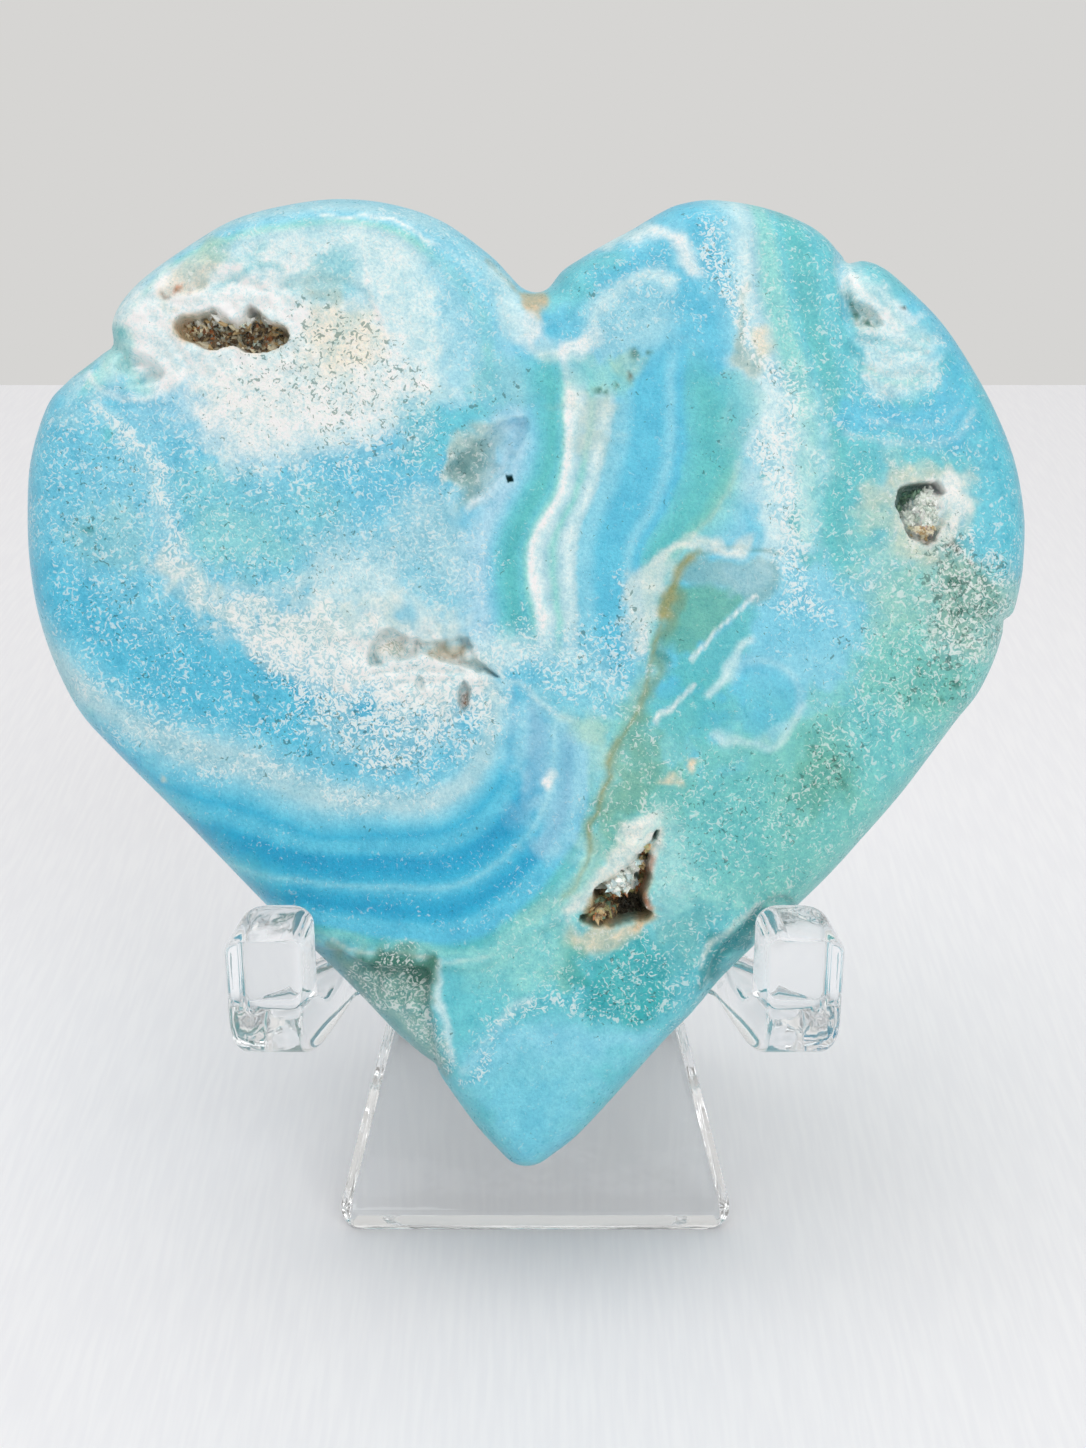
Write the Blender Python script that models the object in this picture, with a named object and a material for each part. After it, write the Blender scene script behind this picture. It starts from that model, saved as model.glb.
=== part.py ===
"""A polished caribbean calcite heart leaning on a small clear plastic easel.

The scene is in metres, with +Z up and the front towards -Y. The origin is on the table, under
the middle of the whole object.

The heart and the crystals in its hollows are drawn on the heart's own face, in millimetres:
across is to the viewer's right, up runs from the tip to the lobes, and out is towards the viewer.
The easel is drawn as it stands: X to the right, Y away from the front edge of its front foot,
and Z above the table.
"""

import math
import random
from collections import namedtuple

import bmesh
import bpy
import numpy as np
from mathutils import Vector
from mathutils.geometry import delaunay_2d_cdt

MM = 0.001
LEAN = math.radians(20.0)

# The heart, in millimetres on its own face
TIP_BEHIND_FOOT = -4.3
TIP_HEIGHT = 12.6
EDGE_ROUND = 4.0
EDGE_HALF_THICKNESS = 6.6
MIDDLE_HALF_THICKNESS = 7.8
DOME_RUN = 20.0
OUTLINE_STEP = 2.2
EDGE_ANGLES = (24.0, 50.0, 72.0, 90.0)
FRONT_SPACING = 3.0
BACK_SPACING = 6.5
HOLLOW_SPACING = 0.7
FOLD_SPACING = 1.2

OUTLINE_RIGHT = [
    (0.0, -0.3), (2.8, 1.0), (5.5, 3.2), (10.0, 8.1), (13.9, 12.5), (20.5, 19.7),
    (29.7, 28.6), (35.8, 35.5), (40.8, 41.7), (45.5, 47.9), (47.6, 52.4), (48.2, 55.1),
    (49.2, 56.6), (50.0, 61.5), (50.0, 66.0), (49.0, 71.3), (47.0, 76.3), (44.4, 81.0),
    (41.3, 85.4), (37.5, 89.1), (34.2, 91.2), (32.0, 91.3), (30.9, 92.7), (28.5, 94.6),
    (23.8, 96.5), (18.7, 97.3), (13.2, 96.0), (8.0, 93.1), (3.5, 90.3), (1.8, 88.5),
]
OUTLINE_LEFT = [
    (-0.6, 88.7), (-3.8, 92.0), (-8.4, 95.2), (-13.5, 96.9), (-18.7, 97.4), (-23.9, 96.8),
    (-29.1, 95.4), (-33.7, 92.8), (-38.1, 89.7), (-40.6, 87.1), (-41.6, 84.4), (-42.2, 82.3),
    (-45.0, 80.3), (-48.1, 76.8), (-49.8, 71.5), (-50.3, 66.1), (-50.0, 60.6), (-49.1, 55.4),
    (-47.4, 50.4), (-45.0, 45.9), (-41.5, 42.0), (-34.9, 35.3), (-26.4, 26.4), (-17.0, 17.2),
    (-10.6, 11.1), (-8.6, 8.8), (-5.5, 4.2), (-2.4, 0.8),
]

# Hollows: the outline on the face, how deep the floor is, and how wide the wall is
Hollow = namedtuple("Hollow", "outline depth wall")
CRYSTAL_HOLLOWS = {
    "upper_left": Hollow(
        [(-34.5, 84.6), (-31.4, 85.6), (-29.0, 85.0), (-27.0, 86.1), (-25.0, 84.7),
         (-22.9, 83.2), (-24.7, 81.6), (-26.9, 81.2), (-31.0, 81.5), (-34.2, 83.2)],
        4.0, 0.8),
    "lower": Hollow(
        [(13.3, 35.0), (10.9, 32.5), (7.3, 29.4), (6.3, 27.5), (5.1, 26.0), (8.0, 25.0),
         (11.8, 25.5), (12.7, 26.5), (11.9, 28.1), (12.5, 30.0), (12.3, 31.6)],
        5.4, 0.9),
    "right": Hollow(
        [(35.9, 67.0), (37.1, 68.8), (40.2, 69.1), (41.1, 67.6), (41.0, 64.8), (39.3, 62.5),
         (37.6, 63.2), (36.2, 65.6)],
        3.2, 0.8),
}
BARE_HOLLOWS = [
    Hollow([(-15.7, 52.0), (-13.6, 54.7), (-8.3, 53.8), (-5.5, 53.9), (-2.5, 49.8), (-7.5, 50.8),
            (-11.0, 51.5), (-15.4, 50.8)], 1.5, 1.0),
    Hollow([(-6.3, 49.8), (-5.2, 48.8), (-5.5, 46.8), (-6.5, 46.2), (-7.0, 48.0)], 1.8, 0.7),
    Hollow([(-6.3, 71.7), (-1.0, 75.3), (0.5, 74.6), (-2.3, 69.4), (-5.2, 66.8), (-7.9, 69.8)],
           1.0, 1.2),
    Hollow([(31.1, 86.8), (33.6, 86.0), (34.9, 83.9), (32.0, 83.7), (31.1, 84.9)], 1.4, 1.2),
    Hollow([(-44.5, 83.5), (-41.0, 81.4), (-39.7, 79.0), (-37.0, 78.3), (-35.3, 79.4),
            (-36.4, 80.8), (-39.3, 82.3), (-41.5, 84.0)], 3.4, 1.3),
    # The two recesses below the banded ledges run out over the heart's edge.
    Hollow([(-26.0, 21.5), (-19.3, 22.4), (-15.5, 21.4), (-9.4, 21.2), (-9.1, 17.9),
            (-8.8, 13.9), (-8.6, 9.8), (-12.0, 6.0)], 2.0, 0.8),
    Hollow([(26.0, 28.0), (22.7, 27.1), (20.7, 24.4), (18.6, 22.2), (17.9, 19.6),
            (17.4, 14.0), (28.0, 22.0)], 1.9, 0.8),
]
# The fold that runs down from the notch in the upper right edge
FOLD_LINE = [(31.3, 93.0), (30.8, 90.2), (31.1, 87.6), (31.2, 85.2)]
FOLD_DEPTH = 1.1
FOLD_HALF_WIDTH = 1.1
FOLD_BOX = ((29.8, 84.0), (32.6, 91.5))

# The crystal crusts, which stand clear of the hollow's floor
CRUST_GAP = 0.5
CRUST_INSET = 0.25
CRUST_SPACING = 0.7
CRUST_RIM = 0.25
CRUST_CRYSTALS = (0.5, 1.9)

# The easel's two legs, one bent strip of clear plastic, in millimetres
EASEL_ACROSS = 0.8
STRIP_THICKNESS = 3.0
STRIP_EDGE_RADIUS = 1.3
RIDGE_HEIGHT = 51.1
RIDGE_RADIUS = 2.5
REAR_LEAN = math.radians(16.5)
FRONT_HALF_WIDTH = 21.5
FRONT_TAPER = 0.27
REAR_HALF_WIDTH = 16.2
REAR_TAPER = 0.165
FOOT_CORNER_RADIUS = 3.0
FOOT_STATIONS = (-1.2, 0.0, 0.15, 0.5, 1.1, 2.0, 3.0)
LEG_STATIONS = (18.0, 32.0, 43.0)
RIDGE_STEPS = 9

# The easel's hooks, in millimetres
HOOK_ACROSS = 26.5
HOOK_WIDTH = 7.3
HOOK_FRONT = -8.1
HOOK_PRONG = 5.4
HOOK_BOTTOM = 25.0
HOOK_SEAT = 29.9
HOOK_TOP_BACK = 41.3
HOOK_TOP_FRONT = 40.2
HOOK_OUTER_RADIUS = 6.5
HOOK_INNER_RADIUS = 3.0
HOOK_TOP_ROUND = 2.2
HOOK_TOP_STATIONS = (3.2, HOOK_TOP_ROUND, 1.3, 0.6, 0.2, 0.0)
HOOK_HEEL_STEPS = 7
HOOK_EDGE_RADIUS = 0.7
WELD_DISTANCE = 0.06
HOOK_ROOT_DEPTH = 0.6
# How far a hook has swung inwards at each distance behind its front: its outer and inner sides.
# The inner side goes round the heart's back edge before it meets the front leg.
HOOK_SWING = [
    (0.0, 0.0, 0.0), (5.4, 1.5, 1.4), (8.0, 2.4, 2.2), (10.2, 3.3, 2.8), (13.0, 5.2, 3.5),
    (15.0, 7.0, 3.9), (16.1, 8.1, 4.4), (17.1, 9.2, 6.1), (18.2, 10.6, 9.3), (20.0, 12.8, 12.4),
    (22.0, 15.6, 15.0),
]


def clear_scene():
    for obj in list(bpy.data.objects):
        bpy.data.objects.remove(obj, do_unlink=True)


def material(name, colour, roughness, transmission=0.0, ior=1.5):
    made = bpy.data.materials.new(name)
    made.use_nodes = True
    shader = made.node_tree.nodes["Principled BSDF"]
    shader.inputs["Base Color"].default_value = (*colour, 1.0)
    shader.inputs["Roughness"].default_value = roughness
    shader.inputs["Metallic"].default_value = 0.0
    shader.inputs["Transmission Weight"].default_value = transmission
    shader.inputs["IOR"].default_value = ior
    return made


def add_object(name, mesh, finish, parent):
    mesh.materials.append(finish)
    obj = bpy.data.objects.new(name, mesh)
    obj.parent = parent
    bpy.context.scene.collection.objects.link(obj)
    return obj


def smooth_closed(points, step):
    """Points about one step apart along a closed Catmull-Rom curve through the given points."""
    knots = np.array(points, float)
    count = len(knots)
    made = []
    for i in range(count):
        before, start, end, after = (knots[(i + k) % count] for k in (-1, 0, 1, 2))
        pieces = max(1, round(np.linalg.norm(end - start) / step))
        for t in np.arange(pieces) / pieces:
            made.append(0.5 * (2 * start + (end - before) * t
                               + (2 * before - 5 * start + 4 * end - after) * t ** 2
                               + (3 * start - 3 * end + after - before) * t ** 3))
    return np.array(made)


def distance_to_path(points, path, closed):
    """How far each point is from a chain of straight edges."""
    ends = np.roll(path, -1, axis=0) if closed else path[1:]
    starts = path if closed else path[:-1]
    nearest = np.full(len(points), np.inf)
    for a, b in zip(starts, ends):
        along = np.clip((points - a) @ (b - a) / ((b - a) @ (b - a)), 0, 1)
        foot = a + along[:, None] * (b - a)
        nearest = np.minimum(nearest, np.linalg.norm(points - foot, axis=1))
    return nearest


def inside_distance(points, outline):
    """Distance to a closed outline, positive inside it and negative outside."""
    within = np.zeros(len(points), bool)
    for a, b in zip(outline, np.roll(outline, -1, axis=0)):
        spans = (a[1] > points[:, 1]) != (b[1] > points[:, 1])
        rise = np.where(b[1] == a[1], 1.0, b[1] - a[1])
        crossing = a[0] + (points[:, 1] - a[1]) * (b[0] - a[0]) / rise
        within ^= spans & (points[:, 0] < crossing)
    distance = distance_to_path(points, outline, closed=True)
    return np.where(within, distance, -distance)


def ease_out(share):
    """Rises steeply from 0 and levels out at 1."""
    return 1 - (1 - np.clip(share, 0, 1)) ** 2


HEART_OUTLINE = smooth_closed(OUTLINE_RIGHT + OUTLINE_LEFT, OUTLINE_STEP)


def full_thickness(depth_inside):
    """Half the heart's thickness away from its rounded edge: a low dome."""
    dome = ease_out((depth_inside - EDGE_ROUND) / DOME_RUN)
    return EDGE_HALF_THICKNESS + (MIDDLE_HALF_THICKNESS - EDGE_HALF_THICKNESS) * dome


def edge_rounding(depth_inside):
    """0 at the outline and 1 past the rounded edge, along a quarter of an ellipse."""
    short = 1 - np.clip(depth_inside / EDGE_ROUND, 0, 1)
    return np.sqrt(1 - short ** 2)


def carved_depth(points):
    """How deep the hollows and the fold are cut below the face at each point."""
    depth = np.zeros(len(points))
    for hollow in list(CRYSTAL_HOLLOWS.values()) + BARE_HOLLOWS:
        inside = inside_distance(points, np.array(hollow.outline))
        depth = np.maximum(depth, hollow.depth * ease_out(inside / hollow.wall))
    fold = distance_to_path(points, np.array(FOLD_LINE), closed=False)
    return np.maximum(depth, FOLD_DEPTH * (1 - np.clip(fold / FOLD_HALF_WIDTH, 0, 1)))


def front_height(points):
    inside = inside_distance(points, HEART_OUTLINE)
    return edge_rounding(inside) * (full_thickness(inside) - carved_depth(points))


def back_height(points):
    inside = inside_distance(points, HEART_OUTLINE)
    return -edge_rounding(inside) * full_thickness(inside)


def staggered_grid(spacing, low, high):
    """Points in staggered rows, as in a honeycomb."""
    rows = []
    for row, up in enumerate(np.arange(low[1], high[1], spacing * math.sqrt(0.75))):
        across = np.arange(low[0] + (row % 2) * spacing / 2, high[0], spacing)
        rows.append(np.column_stack([across, np.full(len(across), up)]))
    return np.concatenate(rows)


def edge_rings():
    """Rings of points that follow the outline inwards over the rounded edge."""
    along = np.roll(HEART_OUTLINE, -1, axis=0) - np.roll(HEART_OUTLINE, 1, axis=0)
    inward = np.column_stack([-along[:, 1], along[:, 0]])
    inward /= np.linalg.norm(inward, axis=1)[:, None]
    rings = []
    for angle in EDGE_ANGLES:
        inset = EDGE_ROUND * (1 - math.cos(math.radians(angle)))
        ring = HEART_OUTLINE + inward * inset
        rings.append(ring[inside_distance(ring, HEART_OUTLINE) > inset * 0.97])
    return np.concatenate(rings)


def thinned(points, apart):
    """The points in order, leaving out each that is too near one already kept."""
    kept = np.empty((0, 2))
    for point in points:
        if not len(kept) or np.linalg.norm(kept - point, axis=1).min() > apart:
            kept = np.vstack([kept, point])
    return kept


def inset_ring(outline, inset, spacing):
    """Points along a closed outline, moved inwards by the inset, or outwards if it is negative."""
    ring = smooth_closed(outline, spacing)
    along = np.roll(ring, -1, axis=0) - np.roll(ring, 1, axis=0)
    inward = np.column_stack([-along[:, 1], along[:, 0]])
    turning = np.sum(ring[:, 0] * along[:, 1] - ring[:, 1] * along[:, 0])
    inward *= np.sign(turning) / np.linalg.norm(inward, axis=1)[:, None]
    moved = ring + inward * inset
    kept = np.abs(inside_distance(moved, ring)) > abs(inset) * 0.9 - 0.01
    return thinned(moved[kept], 0.4 * spacing)


def bounds_of(outline):
    return np.min(outline, axis=0), np.max(outline, axis=0)


def hollow_points(hollow):
    """Points round a hollow, along its lip, down its wall and over its floor."""
    around = inset_ring(hollow.outline, -0.9, 1.8 * HOLLOW_SPACING)
    lip = inset_ring(hollow.outline, 0.0, HOLLOW_SPACING)
    wall = inset_ring(hollow.outline, 0.5 * hollow.wall, HOLLOW_SPACING)
    foot = inset_ring(hollow.outline, hollow.wall, HOLLOW_SPACING)
    floor = staggered_grid(HOLLOW_SPACING, *bounds_of(hollow.outline))
    floor = floor[inside_distance(floor, np.array(hollow.outline)) > hollow.wall]
    return np.concatenate([lip, foot, wall, floor, around])


def triangulated(boundary, inner):
    """Points and triangles that fill a closed boundary. The boundary's points come first."""
    count = len(boundary)
    points = [Vector(p) for p in np.vstack([boundary, inner])]
    edges = [(i, (i + 1) % count) for i in range(count)]
    made, _, faces, sources, _, _ = delaunay_2d_cdt(points, edges, [], 1, 1e-5)
    order = sorted(range(len(made)), key=lambda i: min(sources[i], default=len(points)))
    place = {old: new for new, old in enumerate(order)}
    flat = np.array([made[i][:] for i in order])
    return flat, [[place[i] for i in face] for face in faces]


def closed_sheet(name, rim_count, front, front_faces, back, back_faces):
    """A closed mesh from two sheets that share their rim points."""
    shift = len(front) - rim_count
    backs = [[i if i < rim_count else i + shift for i in reversed(face)] for face in back_faces]
    points = np.vstack([front, back[rim_count:]])
    mesh = bpy.data.meshes.new(name)
    mesh.from_pydata([(x * MM, -out * MM, up * MM) for x, up, out in points], [],
                     list(front_faces) + backs)
    mesh.validate()
    return mesh


def make_heart(finish, face_frame):
    """The stone: a low dome on each side, a rounded edge, and the front's hollows and ledges."""
    rings = edge_rings()
    hollows = list(CRYSTAL_HOLLOWS.values()) + BARE_HOLLOWS
    dense = [hollow_points(hollow) for hollow in hollows]
    dense.append(staggered_grid(FOLD_SPACING, *FOLD_BOX))
    low, high = bounds_of(HEART_OUTLINE)

    def well_inside(points, margin):
        return points[inside_distance(points, HEART_OUTLINE) > margin]

    detail = well_inside(thinned(np.concatenate(dense), 0.5 * HOLLOW_SPACING), 0.6)
    open_face = well_inside(staggered_grid(FRONT_SPACING, low, high), EDGE_ROUND + 1.0)
    clear = np.array([np.linalg.norm(detail - p, axis=1).min() > 1.6 for p in open_face])
    open_face = open_face[clear]
    front_inner = thinned(np.concatenate([detail, rings, open_face]), 0.55)
    open_back = well_inside(staggered_grid(BACK_SPACING, low, high), EDGE_ROUND + 2.0)

    front, front_faces = triangulated(HEART_OUTLINE, front_inner)
    back, back_faces = triangulated(HEART_OUTLINE, np.concatenate([rings, open_back]))
    rim = len(HEART_OUTLINE)
    heights = front_height(front)
    depths = back_height(back)
    heights[:rim] = 0.0
    depths[:rim] = 0.0
    mesh = closed_sheet("heart", rim, np.column_stack([front, heights]), front_faces,
                        np.column_stack([back, depths]), back_faces)
    mesh.shade_smooth()
    mesh.set_sharp_from_angle(angle=math.radians(35))
    return add_object("heart", mesh, finish, face_frame)


def make_crust(name, hollow, finish, face_frame, seed):
    """The crystals that line one hollow: a lumpy plate with a thin rim, over the floor."""
    rolls = random.Random(seed)
    outline = np.array(hollow.outline)
    rim = inset_ring(hollow.outline, hollow.wall + CRUST_INSET, CRUST_SPACING)
    middle = staggered_grid(CRUST_SPACING, *bounds_of(outline))
    middle = middle[inside_distance(middle, rim) > 0.35 * CRUST_SPACING]
    flat, faces = triangulated(rim, middle)
    underside = front_height(flat) + CRUST_GAP
    crystals = np.array([rolls.uniform(*CRUST_CRYSTALS) for _ in flat])
    crystals[:len(rim)] = CRUST_RIM
    topside = underside + crystals
    whole = closed_sheet(name, 0, np.column_stack([flat, topside]), faces,
                         np.column_stack([flat, underside]), faces)
    side = bmesh.new()
    side.from_mesh(whole)
    side.verts.ensure_lookup_table()
    for i in range(len(rim)):
        j = (i + 1) % len(rim)
        below = len(flat)
        side.faces.new([side.verts[k] for k in (j, i, i + below, j + below)])
    bmesh.ops.recalc_face_normals(side, faces=side.faces)
    side.to_mesh(whole)
    side.free()
    return add_object(name, whole, finish, face_frame)


def rounded_section(half_width, half_thickness, radius, per_corner):
    """A rectangle with rounded corners, as (across, through) pairs."""
    radius = min(radius, half_thickness - 0.05)
    points = []
    for corner, (sign_x, sign_t) in enumerate(((1, 1), (-1, 1), (-1, -1), (1, -1))):
        for angle in np.radians(90 * corner + np.linspace(0, 90, per_corner)):
            points.append((sign_x * (half_width - radius) + radius * math.cos(angle),
                           sign_t * (half_thickness - radius) + radius * math.sin(angle)))
    return points


def loft(stations, radius, per_corner):
    """A closed bar through stations of (outer point, inner point, half width), all as (Y, Z)."""
    shape = bmesh.new()
    rings = []
    for outer, inner, half_width in stations:
        middle = (Vector(outer) + Vector(inner)) / 2
        half = (Vector(outer) - Vector(inner)) / 2
        section = rounded_section(half_width, half.length, radius, per_corner)
        places = [(across, middle + half.normalized() * through) for across, through in section]
        rings.append([shape.verts.new((across, place.x, place.y)) for across, place in places])
    for near, far in zip(rings, rings[1:]):
        for i in range(len(near)):
            j = (i + 1) % len(near)
            shape.faces.new((near[i], near[j], far[j], far[i]))
    shape.faces.new(rings[0])
    shape.faces.new(rings[-1])
    bmesh.ops.recalc_face_normals(shape, faces=shape.faces)
    return shape


def finished_mesh(shape, name):
    bmesh.ops.recalc_face_normals(shape, faces=shape.faces)
    bmesh.ops.scale(shape, vec=(MM, MM, MM), verts=shape.verts)
    mesh = bpy.data.meshes.new(name)
    shape.to_mesh(mesh)
    shape.free()
    return mesh


def corner_cut(from_end, radius):
    """How much narrower a bar with round corners is this far from its end."""
    short = radius - min(max(from_end, 0.0), radius)
    return radius - math.sqrt(radius ** 2 - short ** 2)


def front_leg_half_width(height):
    return FRONT_HALF_WIDTH - FRONT_TAPER * height - corner_cut(height, FOOT_CORNER_RADIUS)


def rear_leg_half_width(height):
    return REAR_HALF_WIDTH - REAR_TAPER * height - corner_cut(height, FOOT_CORNER_RADIUS)


def strip_station(middle, heading, half_width):
    """The strip's outer and inner faces at one place. Its heading turns from straight up."""
    outward = Vector((-math.cos(heading), math.sin(heading)))
    half = outward * STRIP_THICKNESS / 2
    return middle + half, middle - half, half_width


def make_legs():
    """The bent strip from the front foot over the ridge to the rear foot, with flat feet."""
    half = STRIP_THICKNESS / 2
    foot = Vector((half * math.cos(LEAN), -half * math.sin(LEAN)))
    rise = Vector((math.sin(LEAN), math.cos(LEAN)))
    ridge_start = foot + rise * ((RIDGE_HEIGHT - foot.y) / rise.y)
    centre = ridge_start + RIDGE_RADIUS * Vector((math.cos(LEAN), -math.sin(LEAN)))
    stations = []
    for height in FOOT_STATIONS + LEG_STATIONS:
        middle = foot + rise * ((height - foot.y) / rise.y)
        stations.append(strip_station(middle, LEAN, front_leg_half_width(height)))
    last_heading = math.pi - REAR_LEAN
    for heading in np.linspace(LEAN, last_heading, RIDGE_STEPS):
        middle = centre + RIDGE_RADIUS * Vector((-math.cos(heading), math.sin(heading)))
        stations.append(strip_station(middle, heading, front_leg_half_width(RIDGE_HEIGHT)))
    ridge_end = centre + RIDGE_RADIUS * Vector((-math.cos(last_heading), math.sin(last_heading)))
    fall = Vector((math.sin(last_heading), math.cos(last_heading)))
    for height in reversed(FOOT_STATIONS + LEG_STATIONS):
        middle = ridge_end + fall * ((height - ridge_end.y) / fall.y)
        stations.append(strip_station(middle, last_heading, rear_leg_half_width(height)))
    shape = loft(stations, STRIP_EDGE_RADIUS, 4)
    everything = shape.verts[:] + shape.edges[:] + shape.faces[:]
    cut = bmesh.ops.bisect_plane(shape, geom=everything, plane_co=(0, 0, 0), plane_no=(0, 0, 1),
                                 clear_inner=True)
    cut_edges = [part for part in cut["geom_cut"] if isinstance(part, bmesh.types.BMEdge)]
    bmesh.ops.holes_fill(shape, edges=cut_edges)
    return finished_mesh(shape, "easel")


def root_end(height):
    """Where a hook ends inside the front leg, just short of its back."""
    return height * math.tan(LEAN) + STRIP_THICKNESS / math.cos(LEAN) - HOOK_ROOT_DEPTH


def on_circle(centre, radius, angle):
    return centre[0] + radius * math.cos(angle), centre[1] + radius * math.sin(angle)


def hook_stations():
    """A hook from its root along the seat, round the heel and up the prong."""
    half_width = HOOK_WIDTH / 2
    prong_back = HOOK_FRONT + HOOK_PRONG
    seat_start = prong_back + HOOK_INNER_RADIUS
    heel = (HOOK_FRONT + HOOK_OUTER_RADIUS, HOOK_BOTTOM + HOOK_OUTER_RADIUS)
    crook = (seat_start, HOOK_SEAT + HOOK_INNER_RADIUS)
    root = ((root_end(HOOK_BOTTOM), HOOK_BOTTOM), (root_end(HOOK_SEAT), HOOK_SEAT), half_width)
    stations = [root]
    for behind, _, _ in reversed(HOOK_SWING):
        y = HOOK_FRONT + behind
        if seat_start + 1.0 < y < root_end(HOOK_BOTTOM) - 0.5:
            stations.append(((y, HOOK_BOTTOM), (y, HOOK_SEAT), half_width))
    for angle in np.radians(np.linspace(270, 180, HOOK_HEEL_STEPS)):
        stations.append((on_circle(heel, HOOK_OUTER_RADIUS, angle),
                         on_circle(crook, HOOK_INNER_RADIUS, angle), half_width))
    for below_top in HOOK_TOP_STATIONS:
        narrower = corner_cut(below_top, HOOK_TOP_ROUND)
        stations.append(((HOOK_FRONT, HOOK_TOP_FRONT - below_top),
                         (prong_back, HOOK_TOP_BACK - below_top), half_width - narrower))
    return stations


def hook_swing(behind, share_inner):
    """How far a hook has swung inwards, from its outer side (0) to its inner side (1)."""
    distances, outer, inner = zip(*HOOK_SWING)
    at_outer = np.interp(behind, distances, outer)
    at_inner = np.interp(behind, distances, inner)
    return at_outer + (at_inner - at_outer) * share_inner


def make_hook(side):
    """One hook. side is -1 for the left one and +1 for the right one."""
    shape = loft(hook_stations(), HOOK_EDGE_RADIUS, 3)
    for vert in shape.verts:
        share_inner = 0.5 - side * vert.co.x / HOOK_WIDTH
        vert.co.x += side * (HOOK_ACROSS - hook_swing(vert.co.y - HOOK_FRONT, share_inner))
    return finished_mesh(shape, "hook")


def make_easel(finish, root):
    """The easel, moulded in one piece: the bent strip with a hook at each side of its front leg."""
    easel = add_object("easel", make_legs(), finish, root)
    easel.location.x = EASEL_ACROSS * MM
    for side, name in ((-1, "left hook"), (1, "right hook")):
        hook = bpy.data.objects.new(name, make_hook(side))
        hook.parent = easel
        hook.hide_render = True
        hook.display_type = "WIRE"
        bpy.context.scene.collection.objects.link(hook)
        union = easel.modifiers.new("join the " + name, "BOOLEAN")
        union.operation = "UNION"
        union.solver = "EXACT"
        union.object = hook
    weld = easel.modifiers.new("weld the joins", "WELD")
    weld.merge_threshold = WELD_DISTANCE * MM
    easel.data.shade_smooth()
    easel.data.set_sharp_from_angle(angle=math.radians(35))
    return easel


def centre_on_origin(root, pieces):
    """Moves the whole object so that the middle of its outer box stands on the origin."""
    bpy.context.view_layer.update()
    graph = bpy.context.evaluated_depsgraph_get()
    corners = []
    for piece in pieces:
        shown = piece.evaluated_get(graph)
        corners += [shown.matrix_world @ vert.co for vert in shown.data.vertices]
    for axis in (0, 1):
        values = [corner[axis] for corner in corners]
        root.location[axis] -= (min(values) + max(values)) / 2


def main():
    clear_scene()
    root = bpy.data.objects.new("object_frame", None)
    face_frame = bpy.data.objects.new("heart_face_frame", None)
    for frame in (root, face_frame):
        bpy.context.scene.collection.objects.link(frame)
    face_frame.parent = root
    face_frame.location = (0, TIP_BEHIND_FOOT * MM, TIP_HEIGHT * MM)
    face_frame.rotation_euler = (-LEAN, 0, 0)

    calcite = material("banded calcite", (0.22, 0.58, 0.66), 0.28)
    crystal = material("brown crystals", (0.36, 0.24, 0.12), 0.55)
    plastic = material("clear plastic", (0.95, 0.96, 0.97), 0.05, transmission=1.0, ior=1.49)

    pieces = [make_heart(calcite, face_frame), make_easel(plastic, root)]
    for seed, (place, hollow) in enumerate(CRYSTAL_HOLLOWS.items(), start=1):
        pieces.append(make_crust("crystal_crust_" + place, hollow, crystal, face_frame, seed))
    centre_on_origin(root, pieces)


main()
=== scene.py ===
import math
import random
from collections import namedtuple

import bmesh
import bpy
import numpy as np
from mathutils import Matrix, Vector
from mathutils.geometry import delaunay_2d_cdt


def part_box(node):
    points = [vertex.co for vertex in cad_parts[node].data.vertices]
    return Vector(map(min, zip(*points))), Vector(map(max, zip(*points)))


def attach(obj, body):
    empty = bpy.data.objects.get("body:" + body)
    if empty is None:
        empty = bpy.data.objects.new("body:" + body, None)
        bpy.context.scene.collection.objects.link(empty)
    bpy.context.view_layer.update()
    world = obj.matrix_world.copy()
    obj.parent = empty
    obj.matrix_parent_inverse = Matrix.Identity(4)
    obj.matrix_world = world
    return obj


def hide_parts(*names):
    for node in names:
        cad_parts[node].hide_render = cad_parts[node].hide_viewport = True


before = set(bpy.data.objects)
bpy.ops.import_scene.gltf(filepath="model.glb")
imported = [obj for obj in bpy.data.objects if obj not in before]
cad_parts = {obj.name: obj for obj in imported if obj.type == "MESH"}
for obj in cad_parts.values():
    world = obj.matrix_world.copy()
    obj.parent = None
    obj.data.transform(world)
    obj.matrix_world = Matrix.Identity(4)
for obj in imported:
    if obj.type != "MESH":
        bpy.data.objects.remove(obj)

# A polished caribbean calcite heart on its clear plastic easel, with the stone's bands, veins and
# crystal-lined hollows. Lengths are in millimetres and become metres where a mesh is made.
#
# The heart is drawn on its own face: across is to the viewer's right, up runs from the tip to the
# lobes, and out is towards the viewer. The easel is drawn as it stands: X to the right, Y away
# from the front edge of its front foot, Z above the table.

MM = 0.001
LEAN = math.radians(20.0)
TIP_BEHIND_FOOT = -4.3
TIP_HEIGHT = 12.6
EASEL_ACROSS = 0.8
HOOK_FRONT = -8.1

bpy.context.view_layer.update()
easel_low, easel_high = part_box("easel")
ORIGIN_X = (easel_low.x + easel_high.x) / 2 / MM - EASEL_ACROSS
ORIGIN_Y = easel_low.y / MM - HOOK_FRONT

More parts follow.
